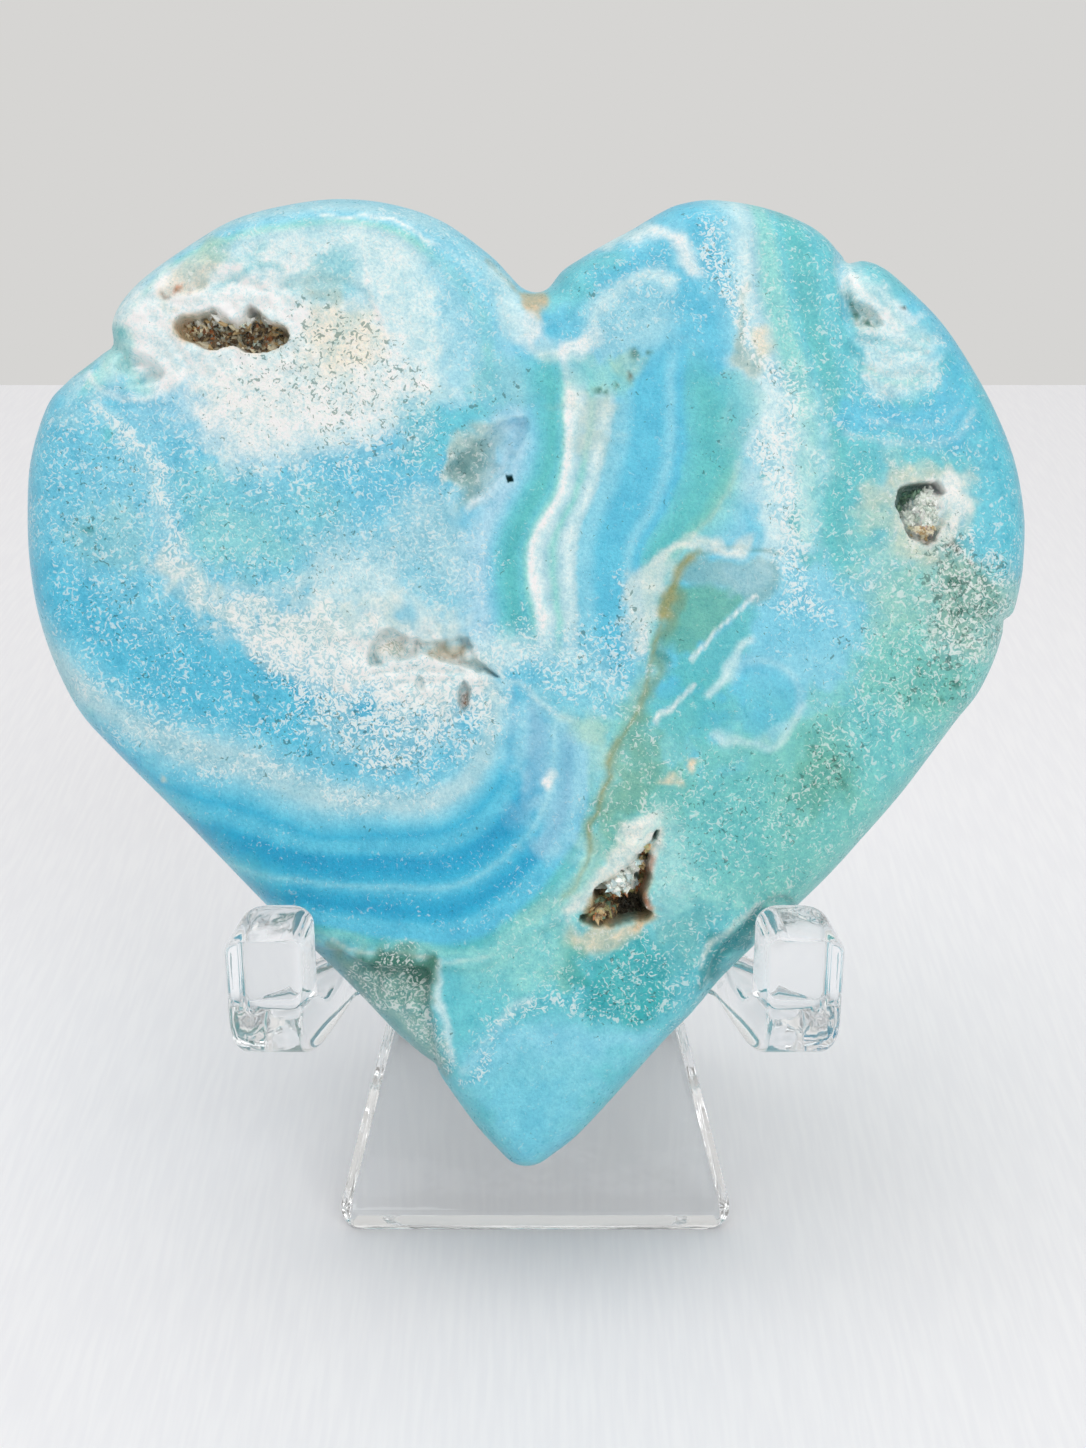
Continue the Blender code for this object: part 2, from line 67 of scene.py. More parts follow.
# The heart's form
EDGE_ROUND = 4.0
EDGE_HALF_THICKNESS = 6.6
MIDDLE_HALF_THICKNESS = 7.8
DOME_RUN = 20.0
FRONT_LOWERED = 0.28
OUTLINE_STEP = 0.45
OUTLINE_INSET = 0.05
RING_INSETS = (0.03, 0.1, 0.22, 0.4)
FRONT_SPACING = 0.37
BACK_SPACING = 0.95
HOLLOW_SPACING = 0.17

OUTLINE = [
    (-0.2, -0.3), (1.3, 0.0), (2.8, 1.0), (5.5, 3.2), (10.0, 8.1), (13.9, 12.5), (17.5, 16.2),
    (20.5, 19.7), (29.7, 28.6), (33.9, 33.2), (37.7, 37.6), (40.8, 41.7), (43.3, 45.1),
    (45.5, 47.9), (47.1, 51.2), (48.0, 54.2), (48.1, 55.3), (49.0, 56.1), (49.7, 58.9),
    (50.0, 61.5), (50.0, 66.0), (49.0, 71.3), (47.0, 76.3), (44.4, 81.0), (41.3, 85.4),
    (37.5, 89.1), (35.4, 90.7), (33.6, 91.3), (32.0, 91.1), (31.3, 92.1), (28.5, 94.6),
    (23.8, 96.5), (18.7, 97.3), (15.3, 96.9), (13.2, 96.0), (10.3, 94.3), (8.0, 93.1),
    (5.3, 91.5), (3.5, 90.3), (2.1, 88.6), (0.8, 88.2), (-0.5, 88.7), (-1.7, 89.9),
    (-3.8, 92.0), (-8.4, 95.2), (-13.5, 96.9), (-18.7, 97.4), (-23.9, 96.8), (-29.1, 95.4),
    (-33.7, 92.8), (-38.1, 89.7), (-40.5, 87.2), (-41.5, 85.0), (-41.5, 83.0), (-42.4, 82.1),
    (-44.1, 80.8), (-46.1, 79.2), (-48.1, 76.8), (-49.8, 71.5), (-50.2, 66.1), (-50.0, 60.6),
    (-49.1, 55.4), (-47.4, 50.4), (-45.0, 45.9), (-41.5, 42.0), (-34.9, 35.3), (-26.4, 26.4),
    (-20.6, 20.8), (-17.0, 17.2), (-13.6, 13.6), (-11.0, 11.3), (-9.4, 10.1), (-8.8, 8.9),
    (-5.5, 4.2), (-2.9, 1.3), (-1.6, 0.1),
]

# Hollows: the outline on the face, how deep the floor is, and how wide the wall is
Hollow = namedtuple("Hollow", "outline depth wall")
CRYSTAL_HOLLOWS = {
    "upper_left": Hollow(
        [(-34.4, 84.8), (-33.0, 85.3), (-31.4, 85.5), (-30.5, 86.0), (-29.2, 85.2), (-28.2, 84.7),
         (-27.0, 86.1), (-26.0, 85.6), (-25.2, 84.7), (-23.7, 84.1), (-23.0, 83.1), (-23.6, 82.2),
         (-24.7, 81.7), (-26.9, 81.3), (-28.6, 82.1), (-31.0, 81.7), (-32.7, 82.5),
         (-34.1, 83.3)], 4.0, 0.45),
    "lower": Hollow(
        [(13.1, 34.9), (12.1, 33.9), (10.9, 32.5), (9.2, 30.9), (7.3, 29.4), (6.5, 28.6),
         (6.3, 27.5), (5.2, 26.0), (6.7, 25.2), (8.6, 25.2), (10.0, 25.5), (11.7, 25.7),
         (12.5, 26.4), (11.9, 27.1), (11.6, 28.1), (12.4, 29.9), (12.2, 31.6), (12.8, 33.2)],
        5.4, 0.6),
    "right": Hollow(
        [(36.0, 67.0), (36.4, 68.1), (37.2, 68.7), (38.7, 69.0), (40.2, 69.0), (41.0, 68.2),
         (40.6, 67.1), (41.0, 66.0), (40.8, 64.6), (40.1, 63.3), (39.3, 62.6), (38.6, 62.7),
         (37.7, 63.3), (36.9, 64.5), (36.3, 66.0)], 3.2, 0.5),
}
BARE_HOLLOWS = [
    Hollow([(-15.6, 52.4), (-14.5, 54.3), (-13.0, 54.6), (-11.7, 53.8), (-8.3, 53.6), (-5.7, 53.8),
            (-4.8, 51.9), (-2.6, 49.8), (-5.1, 50.4), (-7.5, 51.0), (-9.8, 51.8), (-11.6, 51.6),
            (-13.4, 51.2), (-15.3, 50.9)], 2.1, 0.6),
    Hollow([(-6.1, 49.6), (-5.4, 48.6), (-5.6, 47.2), (-6.1, 46.4), (-6.7, 47.0), (-6.8, 48.4)],
           1.8, 0.5),
    Hollow([(-10.5, 50.0), (-9.8, 49.2), (-10.3, 48.3), (-11.2, 49.0)], 1.0, 0.5),
    Hollow([(-6.3, 71.7), (-3.0, 74.4), (-1.1, 75.2), (0.3, 74.7), (-0.8, 71.7), (-2.4, 69.4),
            (-3.9, 67.7), (-5.2, 66.9), (-6.2, 68.4), (-7.7, 69.4), (-7.8, 70.4)], 0.9, 1.0),
    Hollow([(-2.0, 69.6), (-1.4, 69.5), (-1.3, 68.9), (-1.9, 68.8)], 1.6, 0.25),
    Hollow([(31.2, 86.5), (32.4, 86.5), (33.6, 86.0), (34.6, 84.9), (34.8, 84.0), (33.2, 83.8),
            (32.0, 83.9), (31.3, 84.9)], 1.3, 1.0),
    Hollow([(-44.5, 83.5), (-41.0, 81.4), (-39.7, 79.0), (-37.0, 78.3), (-35.3, 79.4),
            (-36.4, 80.8), (-39.3, 82.3), (-41.5, 84.0)], 1.7, 1.3),
    # The two recesses below the banded ledges run out over the heart's edge.
    Hollow([(-26.0, 21.5), (-19.4, 22.7), (-17.9, 22.3), (-15.5, 21.3), (-12.5, 21.1),
            (-10.0, 21.1), (-9.4, 19.4), (-9.6, 17.9), (-9.2, 15.9), (-9.1, 13.9), (-8.9, 9.6),
            (-12.0, 6.0)], 1.9, 0.5),
    Hollow([(26.0, 28.0), (22.7, 27.0), (21.8, 25.7), (20.7, 24.4), (19.8, 23.6), (18.7, 22.2),
            (18.1, 21.1), (17.9, 19.4), (17.4, 14.0), (28.0, 22.0)], 1.8, 0.5),
]
# Creases: the line, how deep, and how wide to each side
Crease = namedtuple("Crease", "line depth half_width")
CREASES = [
    Crease([(31.3, 93.0), (30.8, 90.2), (31.1, 87.6), (31.3, 85.1)], 1.1, 1.0),
    Crease([(31.5, 82.0), (33.2, 78.8), (35.6, 77.0)], 0.35, 0.8),
    Crease([(-6.0, 92.6), (-3.0, 89.6), (-0.6, 87.2)], 0.25, 0.6),
    Crease([(33, 89.4), (36.4, 86.4), (39.4, 82.4)], 0.35, 0.7),
    Crease([(32.6, 82.6), (35.8, 82.4), (39, 81.4)], 0.3, 0.6),
    Crease([(32.8, 80), (35.6, 79.2), (38.6, 79.6)], 0.3, 0.6),
    Crease([(-24, 87.8), (-20, 88.4), (-16.4, 87.6), (-14.4, 84)], 0.3, 0.8),
    Crease([(-36.6, 86.6), (-33, 87.6), (-29, 88.6), (-25.4, 87.4)], 0.3, 0.7),
    Crease([(-15, 50.2), (-12, 50.6), (-9, 50.4), (-6.4, 50.4)], 0.3, 0.5),
    Crease([(-12.6, 49.2), (-9, 49.4), (-7.4, 49.6)], 0.25, 0.5),
    Crease([(-4.6, 49.2), (-5.4, 47.4), (-7.4, 45.6)], 0.25, 0.5),
    Crease([(48.4, 55.6), (45.9, 55.0), (44.6, 55.9)], 0.7, 0.7),
]
# Low lumps that stand in and round the hollows: the place, the radius and the height
LUMPS = [
    (-13.8, 52.3, 1.3, 1.2), (-11.6, 53.0, 0.7, 0.7), (-9.8, 52.5, 1.2, 1.1),
    (-7.2, 52.9, 0.9, 0.9), (-5.7, 52.1, 0.8, 1.2), (-12.2, 50.6, 0.5, 0.5),
    (-32.4, 86.2, 0.9, 2.2), (-29.5, 85.6, 1.2, 3.6), (-28.1, 84.9, 1.1, 3.4),
    (-24.5, 85.0, 0.6, 1.6),
    (9.3, 29.5, 1.5, 4.4), (10.6, 31.4, 1.3, 4.6), (11.9, 33.2, 1.1, 4.6), (8.2, 28.6, 1.0, 3.4),
    (6.6, 26.8, 1.3, 3.8), (7.8, 26.2, 1.1, 3.4), (39.5, 66.8, 1.7, 2.8), (38.5, 65.2, 1.5, 2.5),
    (39.9, 65.0, 1.4, 2.7), (38.8, 63.6, 1.2, 2.3),
    (-38.4, 79.6, 0.9, 1.0), (-40.3, 81.2, 0.8, 1.0), (-13.6, 19.2, 1.1, 0.8),
    (-11.4, 16.8, 1.0, 0.8), (-16.2, 19.9, 0.8, 0.6),
    (19.9, 21.6, 0.9, 0.6), (22.2, 24.4, 0.9, 0.6), (32.4, 84.8, 0.6, 0.5), (33.8, 84.7, 0.5, 0.4),
]

# Colours as the eye sees them, in 0 to 255
PALETTE = {
    "white": (252, 255, 253), "ice": (218, 245, 249), "mist": (184, 225, 235),
    "lilac": (176, 223, 243), "sky": (142, 217, 238), "azure": (100, 202, 232),
    "cerulean": (68, 186, 224), "deep": (46, 170, 214), "lagoon": (112, 208, 220),
    "teal": (100, 200, 205), "aqua": (150, 223, 220), "sea": (122, 206, 198),
    "jade": (106, 186, 170), "sage": (170, 216, 202), "moss": (120, 164, 140),
    "slate": (134, 172, 170), "pearl": (234, 242, 236), "stone": (192, 212, 205),
    "cream": (232, 224, 198), "tan": (204, 174, 124), "olive": (160, 158, 102),
    "rust": (184, 108, 54), "umber": (102, 74, 46), "pine": (60, 120, 106),
    "petrol": (58, 150, 156), "emerald": (0, 168, 172), "black": (34, 26, 20),
}

# The polish reflects the room, which pales every colour by this much, so it is taken off first.
VEIL = np.array([0.03, 0.02, 0.03])

# Layers of colour on the face, painted in this order. A stroke follows a line with a half width,
# a patch fills an outline, and bands run between guide lines, from the first line to the last.
Stroke = namedtuple("Stroke", "colour opacity half_width soft points")
Patch = namedtuple("Patch", "colour opacity soft points")
Bands = namedtuple("Bands", "opacity soft area guides stops")

BIG_LOBE_GUIDES = [
    [(-54, 68), (-46, 61.5), (-40, 56.5), (-34, 52.5), (-28, 50), (-22, 47.6), (-16, 45),
     (-12, 44), (-8.5, 44.6), (-7, 47), (-6, 52)],
    [(-54, 58), (-46, 53), (-42, 49.7), (-36, 46.2), (-28, 43.6), (-20, 40.8), (-15, 39.4),
     (-10, 39.3), (-6.4, 41.2), (-4.6, 45), (-4.2, 52)],
    [(-54, 52), (-45, 45.6), (-38, 40.6), (-33, 38.2), (-28, 36.6), (-20, 34.7), (-14, 34.1),
     (-9, 34.8), (-4.6, 37.3), (-2.2, 41.2), (-1.6, 45), (-1.6, 52)],
    [(-48, 46), (-38, 37.6), (-30, 34.2), (-25, 33.1), (-20, 32.2), (-13, 31.6), (-8, 32.3),
     (-3.5, 34.6), (-0.8, 38.4), (0.3, 43), (0.4, 52)],
    [(-42, 36), (-36, 32.4), (-28, 30.6), (-21, 29.3), (-14, 28.6), (-8, 29.1), (-3, 31.3),
     (0.7, 34.9), (2.5, 40), (2.8, 45), (2.8, 52)],
    [(-38, 29), (-30, 27.6), (-24, 26.7), (-18, 25.4), (-12, 24.9), (-6, 25.7), (-1, 28.3),
     (2.4, 32), (4.5, 37), (5.2, 42), (5.6, 52)],
    [(-32, 25.5), (-24, 24.4), (-19.8, 23.2), (-15.5, 21.7), (-9.5, 21.4), (-3.6, 21.9),
     (-0.7, 23.2), (3.1, 26.4), (5.3, 30.8), (6.8, 35.6), (7.6, 40), (8.6, 45), (9.4, 52)],
]
MIDDLE_GUIDES = [
    [(-6.6, 48), (-6, 55), (-5.8, 60), (-5, 65), (-3.2, 70), (-2.6, 75), (-3, 82)],
    [(-2.6, 48), (-2.1, 55), (-2, 59), (-1.5, 63), (0, 67), (1.4, 71), (1.9, 75), (1.6, 82)],
    [(1.3, 48), (1.2, 55.4), (0.7, 58), (0.6, 61.5), (1.5, 64.5), (2.8, 66.8), (3.5, 69),
     (3.8, 72), (3.6, 75.6), (3.4, 82)],
    [(4.6, 48), (4.7, 54), (4.7, 57), (4.8, 60), (5.1, 63), (6.2, 66), (7.6, 69.5), (8.2, 74),
     (8, 82)],
    [(8, 48), (7.9, 53), (7.6, 56), (7.5, 59.5), (8, 63), (9.6, 66), (11.1, 69), (11.9, 73),
     (11.8, 82)],
    [(11.6, 50), (11.4, 56), (11, 59), (11.4, 62.4), (13.3, 65.4), (14.9, 68.4), (15.6, 72),
     (15.4, 76), (15, 84)],
    [(14, 54), (14.3, 58), (15, 60.8), (16.8, 63.2), (19.3, 66), (20.9, 69.4), (21.5, 73),
     (21.3, 84)],
]
LEFT_TOP_GUIDES = [
    [(-45, 82), (-41, 89), (-34.6, 94), (-28.4, 97), (-19, 98.6), (-12.6, 98), (-7.4, 96.2),
     (-2.6, 92.6), (1, 87.6)],
    [(-42.6, 80), (-38.6, 87), (-33, 91.3), (-27, 93.6), (-20, 94.9), (-14.5, 94.4), (-9.8, 92.5),
     (-5.8, 89.6), (-3.4, 85.6), (-2.4, 80)],
    [(-39, 81), (-34.6, 88.2), (-29.4, 90.6), (-24, 91.8), (-19, 92.5), (-14.6, 91.8),
     (-11, 89.4), (-8.6, 86), (-6.7, 82), (-5.8, 77)],
    [(-37, 81), (-32.6, 86.4), (-26, 88.6), (-20, 89.8), (-16.6, 89.1), (-14.2, 86.6),
     (-12.4, 83.2), (-11, 79.6), (-10.4, 76)],
]
RIGHT_TOP_GUIDES = [
    [(14.4, 99), (16.8, 94), (17.6, 88), (18.4, 82), (19.6, 76), (21.4, 70), (22.6, 63)],
    [(20, 99), (21.2, 94), (21.6, 88), (23, 83), (24.2, 77), (25, 70), (25.6, 62)],
    [(23.4, 98), (24.4, 93), (25.4, 88.4), (27, 83.8), (28.4, 78.4), (28.8, 71), (28.6, 62)],
    [(27.4, 97), (28.2, 92), (29.4, 87.6), (30.4, 83.4), (31.6, 78), (32, 71), (32, 62)],
    [(33, 95), (31.3, 91), (31.4, 86), (33.6, 81), (35.8, 76.4), (36.4, 70), (36.2, 62)],
]

LAYERS = [
    Patch("aqua", 1, 5.0, [
        (4, 52), (12, 46), (20, 44), (30, 54), (44, 66), (56, 70), (56, 40), (24, 4), (0, 16),
        (2, 35)]),
    Patch("sea", 0.75, 4.0, [
        (20, 46), (28, 52), (38, 64), (44, 62), (54, 60), (46, 40), (30, 24), (20, 30)]),
    Patch("lagoon", 1, 4.0, [(28, 98), (56, 84), (54, 60), (42, 66), (30, 64), (26, 80)]),
    Patch("lagoon", 1, 2.5, [(-14, 23), (14, 27), (22, 20), (0, -8), (-18, 10)]),
    Patch("sky", 0.8, 3.0, [(18, 64), (26, 78), (33, 76), (34, 60), (30, 48), (20, 50)]),
    # The left lobe's porous white and the teal and blue below it
    Patch("ice", 0.8, 3.0, [
        (-44, 80), (-40, 94), (-18, 99), (-4, 92), (-7, 80), (-12, 74), (-30, 70), (-33, 79)]),
    Patch("azure", 0.8, 2.5, [
        (-50, 76), (-44, 79.5), (-36, 79), (-32, 76), (-20, 72.4), (-6, 77), (-2, 78), (-5, 68),
        (-8, 60), (-18, 62), (-24, 58), (-33, 58), (-40, 62), (-52, 62)]),
    Bands(1, 1.2, [
        (-46, 78), (-41, 78), (-36, 84), (-32, 86), (-26, 88.4), (-20, 89.4), (-15, 87.4),
        (-12.4, 81), (-10.4, 77.6), (-4.6, 77), (-1.6, 82), (1.4, 87.6), (-1, 93), (-10, 100),
        (-30, 100), (-46, 90)], LEFT_TOP_GUIDES,
        [(0, "lagoon"), (0.3, "sky"), (0.7, "mist"), (1.0, "sky"), (1.3, "aqua"), (1.55, "mist"),
         (1.8, "ice"), (2.3, "ice"), (2.6, "ice"), (3.0, "ice")]),
    Stroke("white", 0.8, 0.14, 0.16, [
        (-20, 95.4), (-14, 94.6), (-9.4, 92.4), (-5.8, 89.9), (-3.2, 87.6)]),
    Patch("sky", 0.7, 1.4, [(-9, 92), (-4.6, 91), (-3, 86), (-3.4, 79), (-7.4, 78), (-8.6, 85)]),
    Patch("ice", 0.6, 1.4, [(-28, 92), (-20, 94.6), (-13, 93), (-12, 90.6), (-20, 92), (-27, 90)]),
    Patch("white", 0.9, 2.4, [
        (-41, 85), (-37, 90), (-33, 90.6), (-27, 89.6), (-22, 91), (-18, 86), (-14.6, 85),
        (-10.4, 79.6), (-9.6, 77), (-14, 74), (-21, 72.6), (-27, 70.6), (-31.6, 74), (-32, 78.4),
        (-38, 80)]),
    Patch("pearl", 0.35, 2.6, [
        (-33, 79.4), (-24, 81), (-14, 81), (-9.6, 77), (-18, 75), (-27, 74)]),
    Patch("lagoon", 0.55, 0.9, [
        (-24.4, 88.3), (-20.5, 90.4), (-16.8, 90.6), (-16.2, 88), (-18, 86.6), (-23, 86)]),
    Patch("slate", 0.3, 0.8, [(-21.6, 88.4), (-18, 88.8), (-18, 86.8), (-21, 86.6)]),
    Stroke("lagoon", 0.6, 0.4, 0.4, [(-31.5, 87.4), (-29, 88.3), (-26.5, 89.5), (-24.4, 89.4)]),
    Stroke("lagoon", 0.5, 0.35, 0.4, [(-31, 90.4), (-29, 89.9), (-26.8, 90.9), (-25.5, 92)]),
    Stroke("white", 0.8, 0.35, 0.4, [
        (-34, 86.2), (-31.6, 86.7), (-29.4, 87.4), (-27, 88.1), (-24, 87.4), (-22.6, 85.4)]),
    Stroke("white", 0.6, 0.2, 0.25, [
        (-15.6, 91), (-14.9, 87), (-14.1, 84), (-12.6, 81), (-11.5, 79.5)]),
    Patch("olive", 0.35, 0.8, [
        (-35.8, 87.5), (-34.6, 90), (-31.5, 92), (-30.6, 90.4), (-32, 87.8)]),
    Patch("sage", 0.6, 0.5, [(-33, 91), (-31.2, 92.3), (-29.6, 91.6), (-31, 90)]),
    Patch("cream", 0.5, 1.4, [(-21, 86), (-16, 86), (-14.6, 83), (-16, 80), (-21, 80.4)]),
    Patch("aqua", 0.6, 0.8, [
        (-40.6, 84), (-38, 83), (-37.6, 81), (-36, 79.4), (-38, 78.6), (-40, 80.6)]),
    # Painted shade: a teal line along the edge of the notch in the rim
    Stroke("teal", 0.7, 0.5, 0.5, [(-43.4, 80.4), (-41, 81.6), (-40.4, 83.5)]),
    Patch("lilac", 0.6, 1.4, [(-39.4, 76), (-36, 78.2), (-33, 78), (-32.6, 73.4), (-36, 72.6)]),
    Patch("mist", 0.7, 1.0, [(-47, 75), (-44.4, 78.3), (-43, 76.5), (-44.5, 74)]),
    Stroke("white", 0.7, 0.3, 0.4, [
        (-42.2, 79.5), (-40.4, 77.8), (-38.4, 77.2), (-36.4, 77.6), (-34.4, 79.2), (-31, 79.9)]),
    Stroke("ice", 0.8, 1.0, 1.0, [
        (-41.4, 76.4), (-39.6, 73.6), (-37.8, 71), (-36.4, 68), (-35.8, 65), (-34.2, 61.8),
        (-31.6, 58.4)]),
    Patch("sage", 0.5, 1.2, [
        (-46, 65), (-42, 67.4), (-38.4, 65), (-37, 61), (-40, 60.5), (-44, 61.6)]),
    Patch("sky", 0.5, 3.0, [
        (-52, 78), (-36, 77), (-30, 71), (-10, 73), (-8, 60), (-30, 56), (-38, 50), (-50, 58)]),
    Patch("lagoon", 0.55, 2.0, [
        (-34, 69), (-30, 70.6), (-26, 68.6), (-21, 69), (-18, 67.6), (-18, 64.6), (-22, 61.4),
        (-26, 59.6), (-31, 60), (-33.4, 63)]),
    Patch("aqua", 0.4, 1.0, [(-31, 65), (-26, 66), (-23.5, 62.6), (-27, 60.8), (-31, 61.4)]),
    Patch("azure", 0.9, 1.8, [
        (-20, 70.6), (-15, 71.6), (-10, 70.6), (-9.6, 66.6), (-13, 64.6), (-18, 66)]),
    Patch("lagoon", 0.6, 1.2, [(-12, 76), (-8, 76.5), (-3, 77), (-3, 73), (-8, 71), (-13, 71.8)]),
    Stroke("ice", 0.6, 0.25, 0.4, [(-22, 72.4), (-18, 73.8), (-14.5, 75), (-11, 76), (-8.5, 77)]),
    Stroke("ice", 0.5, 0.2, 0.4, [(-16, 71), (-12.5, 72.6), (-9.5, 74.3)]),
    Patch("mist", 0.7, 2.2, [
        (-21, 63.4), (-14, 63.4), (-10, 67.4), (-5, 67), (-4.4, 60), (-8, 56.4), (-16, 55.5),
        (-22, 58.4)]),
    Patch("ice", 0.6, 1.0, [(-21, 60.4), (-15, 61.4), (-11, 58), (-14, 55.5), (-20, 56)]),
    Patch("sky", 0.7, 1.0, [
        (-12, 58.6), (-9, 60.4), (-6.5, 58.6), (-5, 56), (-8, 55), (-11.6, 56)]),
    Patch("stone", 0.8, 0.9, [
        (-8, 70), (-5, 73.6), (-1.4, 75.2), (0, 74), (-2, 70), (-4.6, 67.2), (-6.8, 68.4)]),
    Patch("slate", 0.9, 0.9, [(-6.8, 70), (-4.6, 72), (-2.4, 71), (-4, 68), (-5.4, 67.4)]),
    Stroke("white", 0.7, 0.3, 0.3, [(0, 74.4), (-0.6, 72), (-1.6, 70), (-3, 68.2), (-5, 66.8)]),
    Patch("ice", 0.1, 4.0, [
        (-42, 72), (-30, 72), (-10, 70), (-3, 66), (-5, 56), (-20, 56), (-32, 56), (-42, 62)]),
    # The big lobe's bands and the pale porous band above them
    Bands(1, 1.6, [
        (-56, 62), (-46, 60.6), (-40, 56), (-34, 52), (-28, 49), (-22, 46.4), (-16, 43),
        (-10, 42.6), (-6.4, 45.4), (-4.6, 48.6), (-0.6, 48.4), (1.4, 46.6), (4, 44.8),
        (6.6, 43.4), (7.4, 39), (6.6, 35), (5.2, 31), (3, 27), (-1, 23.6), (-6, 22), (-14, 21.8),
        (-22, 24), (-34, 26), (-56, 50)], BIG_LOBE_GUIDES,
        [(-0.6, "cerulean"), (0.2, "azure"), (0.7, "azure"), (1.0, "sky"), (1.25, "mist"),
         (1.5, "mist"), (1.75, "sky"), (1.95, "azure"), (2.1, "cerulean"), (2.4, "azure"),
         (2.7, "azure"), (2.95, "cerulean"), (3.04, "deep"), (3.4, "deep"), (3.75, "cerulean"),
         (3.9, "azure"), (4.0, "sky"), (4.1, "azure"), (4.3, "cerulean"), (4.6, "deep"),
         (4.8, "cerulean"), (4.95, "azure"), (5.1, "azure"), (5.3, "azure"), (5.5, "teal"),
         (5.8, "lagoon"), (5.94, "aqua"), (6.0, "sage"), (6.1, "sage"), (6.4, "lagoon")]),
    Stroke("aqua", 0.7, 0.4, 0.4, [
        (-24, 24.2), (-19.8, 23.4), (-15.5, 22), (-9.5, 21.8), (-3.6, 22.3), (-0.7, 23.6),
        (3.1, 26.8)]),
    Stroke("pearl", 0.7, 0.12, 0.2, [
        (-20, 23.2), (-15.5, 21.8), (-9.5, 21.6), (-3.6, 22.1), (-0.7, 23.4)]),
    # Painted shade: a dark line just under the pale ledge rim
    Stroke("petrol", 0.5, 0.3, 0.35, [(-9.5, 20.8), (-3.6, 21.3), (-0.4, 22.5), (3.6, 25.6)]),
    Patch("ice", 0.35, 2.5, [(-4, 47), (0, 47), (7, 43), (6, 34), (1, 32), (0, 38)]),
    Patch("teal", 0.35, 2.5, [(-50, 52), (-42, 44), (-34, 37), (-26, 29), (-30, 26), (-52, 46)]),
    Patch("pearl", 0.85, 2.6, [
        (-36, 60), (-33, 60), (-28, 57), (-20, 57.4), (-13, 56.4), (-4, 55), (-2.4, 51),
        (-4.4, 47.4), (-9, 46), (-15, 48.4), (-21, 51), (-27, 53), (-32, 56)]),
    Patch("white", 0.6, 1.4, [
        (-28, 54.6), (-20, 53), (-12, 54.6), (-4, 52), (-6, 48.6), (-13, 48), (-20, 50)]),
    Patch("mist", 0.55, 1.6, [
        (-20, 47.5), (-12, 46.5), (-7, 45), (-6, 42), (-12, 41.4), (-20, 43.6)]),
    Patch("ice", 0.8, 1.2, [
        (-4.4, 55), (0, 54.6), (5, 53), (8, 51), (8, 48), (4, 49.4), (-1, 50), (-5, 52)]),
    Patch("sky", 0.75, 1.2, [(0, 50), (4, 51.6), (8, 54), (11, 53), (10, 48), (5, 46.6), (1, 48)]),
    Patch("sky", 0.6, 1.0, [(0.6, 48.4), (5, 48), (8.4, 46.6), (6, 45.4), (2.6, 46)]),
    Stroke("ice", 0.6, 0.25, 0.35, [(-3.4, 48.4), (-0.5, 48.4), (1.4, 46.6), (4, 44.8)]),
    Patch("sage", 0.6, 0.9, [(3.6, 45), (6.4, 45.4), (6.6, 42.6), (4, 42.4)]),
    # The top of the right lobe
    Patch("sky", 1, 2.0, [(-2, 90), (3, 86), (6, 80), (14, 80), (20, 84), (26, 99), (10, 97)]),
    Patch("white", 0.8, 0.9, [
        (0.4, 86), (1.8, 86), (2.4, 83.4), (5, 83), (6.6, 84.5), (7.8, 82.6), (5, 80.6),
        (2.2, 81), (0.6, 83.4)]),
    Patch("azure", 0.6, 0.8, [(2.6, 86), (5, 86), (5.4, 83.8), (3.2, 83.2)]),
    Patch("lagoon", 0.9, 0.9, [(2.6, 89.4), (5, 91), (9, 91), (7.4, 88), (4.4, 86.4), (2.6, 87)]),
    Patch("tan", 0.8, 0.5, [(0.2, 88.6), (2.6, 89), (2.3, 87), (1.2, 86), (0.3, 87)]),
    Stroke("tan", 0.7, 0.2, 0.3, [(-3, 90.2), (-1.6, 89), (0, 88)]),
    Patch("ice", 0.7, 0.8, [(-2.5, 89), (0, 88), (0.4, 84), (-1.4, 85)]),
    Patch("azure", 0.8, 1.4, [
        (7, 88.4), (10, 91), (14, 90.6), (17, 88), (18, 84), (15.5, 84), (12, 88), (9, 87.4)]),
    Stroke("white", 0.8, 0.7, 0.8, [(8.6, 92.2), (11, 92.6), (13.6, 92), (16, 90.6), (17, 89)]),
    Stroke("ice", 0.8, 0.8, 0.8, [(7, 85.6), (9, 87.4), (12, 88.2), (14.6, 87.6)]),
    Patch("azure", 0.9, 1.2, [(12, 95), (15, 98), (22, 98), (22, 92.6), (18, 91.4), (16, 92.6)]),
    Patch("mist", 0.4, 1.6, [
        (6.8, 86), (9.6, 86.6), (13.4, 86.6), (15.6, 83), (14, 79), (9, 78.4), (5, 79),
        (6.6, 82)]),
    Patch("azure", 0.8, 1.2, [
        (15.4, 88), (18.4, 86), (18.8, 80), (17, 76), (13.6, 77), (14.6, 82)]),
    # The wavy bands down the middle
    Bands(1, 2.2, [
        (-5.6, 54), (-4, 53.6), (1, 53.4), (8, 51.6), (12, 51), (13.6, 55), (14, 58.6),
        (16, 61.6), (19.6, 65), (21.4, 70), (20.6, 76), (17, 80), (12, 81), (8, 78), (4, 80.6),
        (-2.6, 80.4), (-3, 73), (-4.4, 68), (-5.6, 61)], MIDDLE_GUIDES,
        [(0, "lilac"), (0.45, "lilac"), (0.7, "sky"), (0.9, "lagoon"), (1.15, "teal"),
         (1.4, "teal"), (1.65, "lagoon"), (1.86, "aqua"), (1.97, "ice"), (2.01, "white"),
         (2.09, "white"), (2.2, "ice"), (2.36, "mist"), (2.5, "aqua"), (2.64, "mist"),
         (2.8, "ice"), (2.96, "mist"), (3.04, "sky"), (3.35, "sky"), (3.7, "azure"),
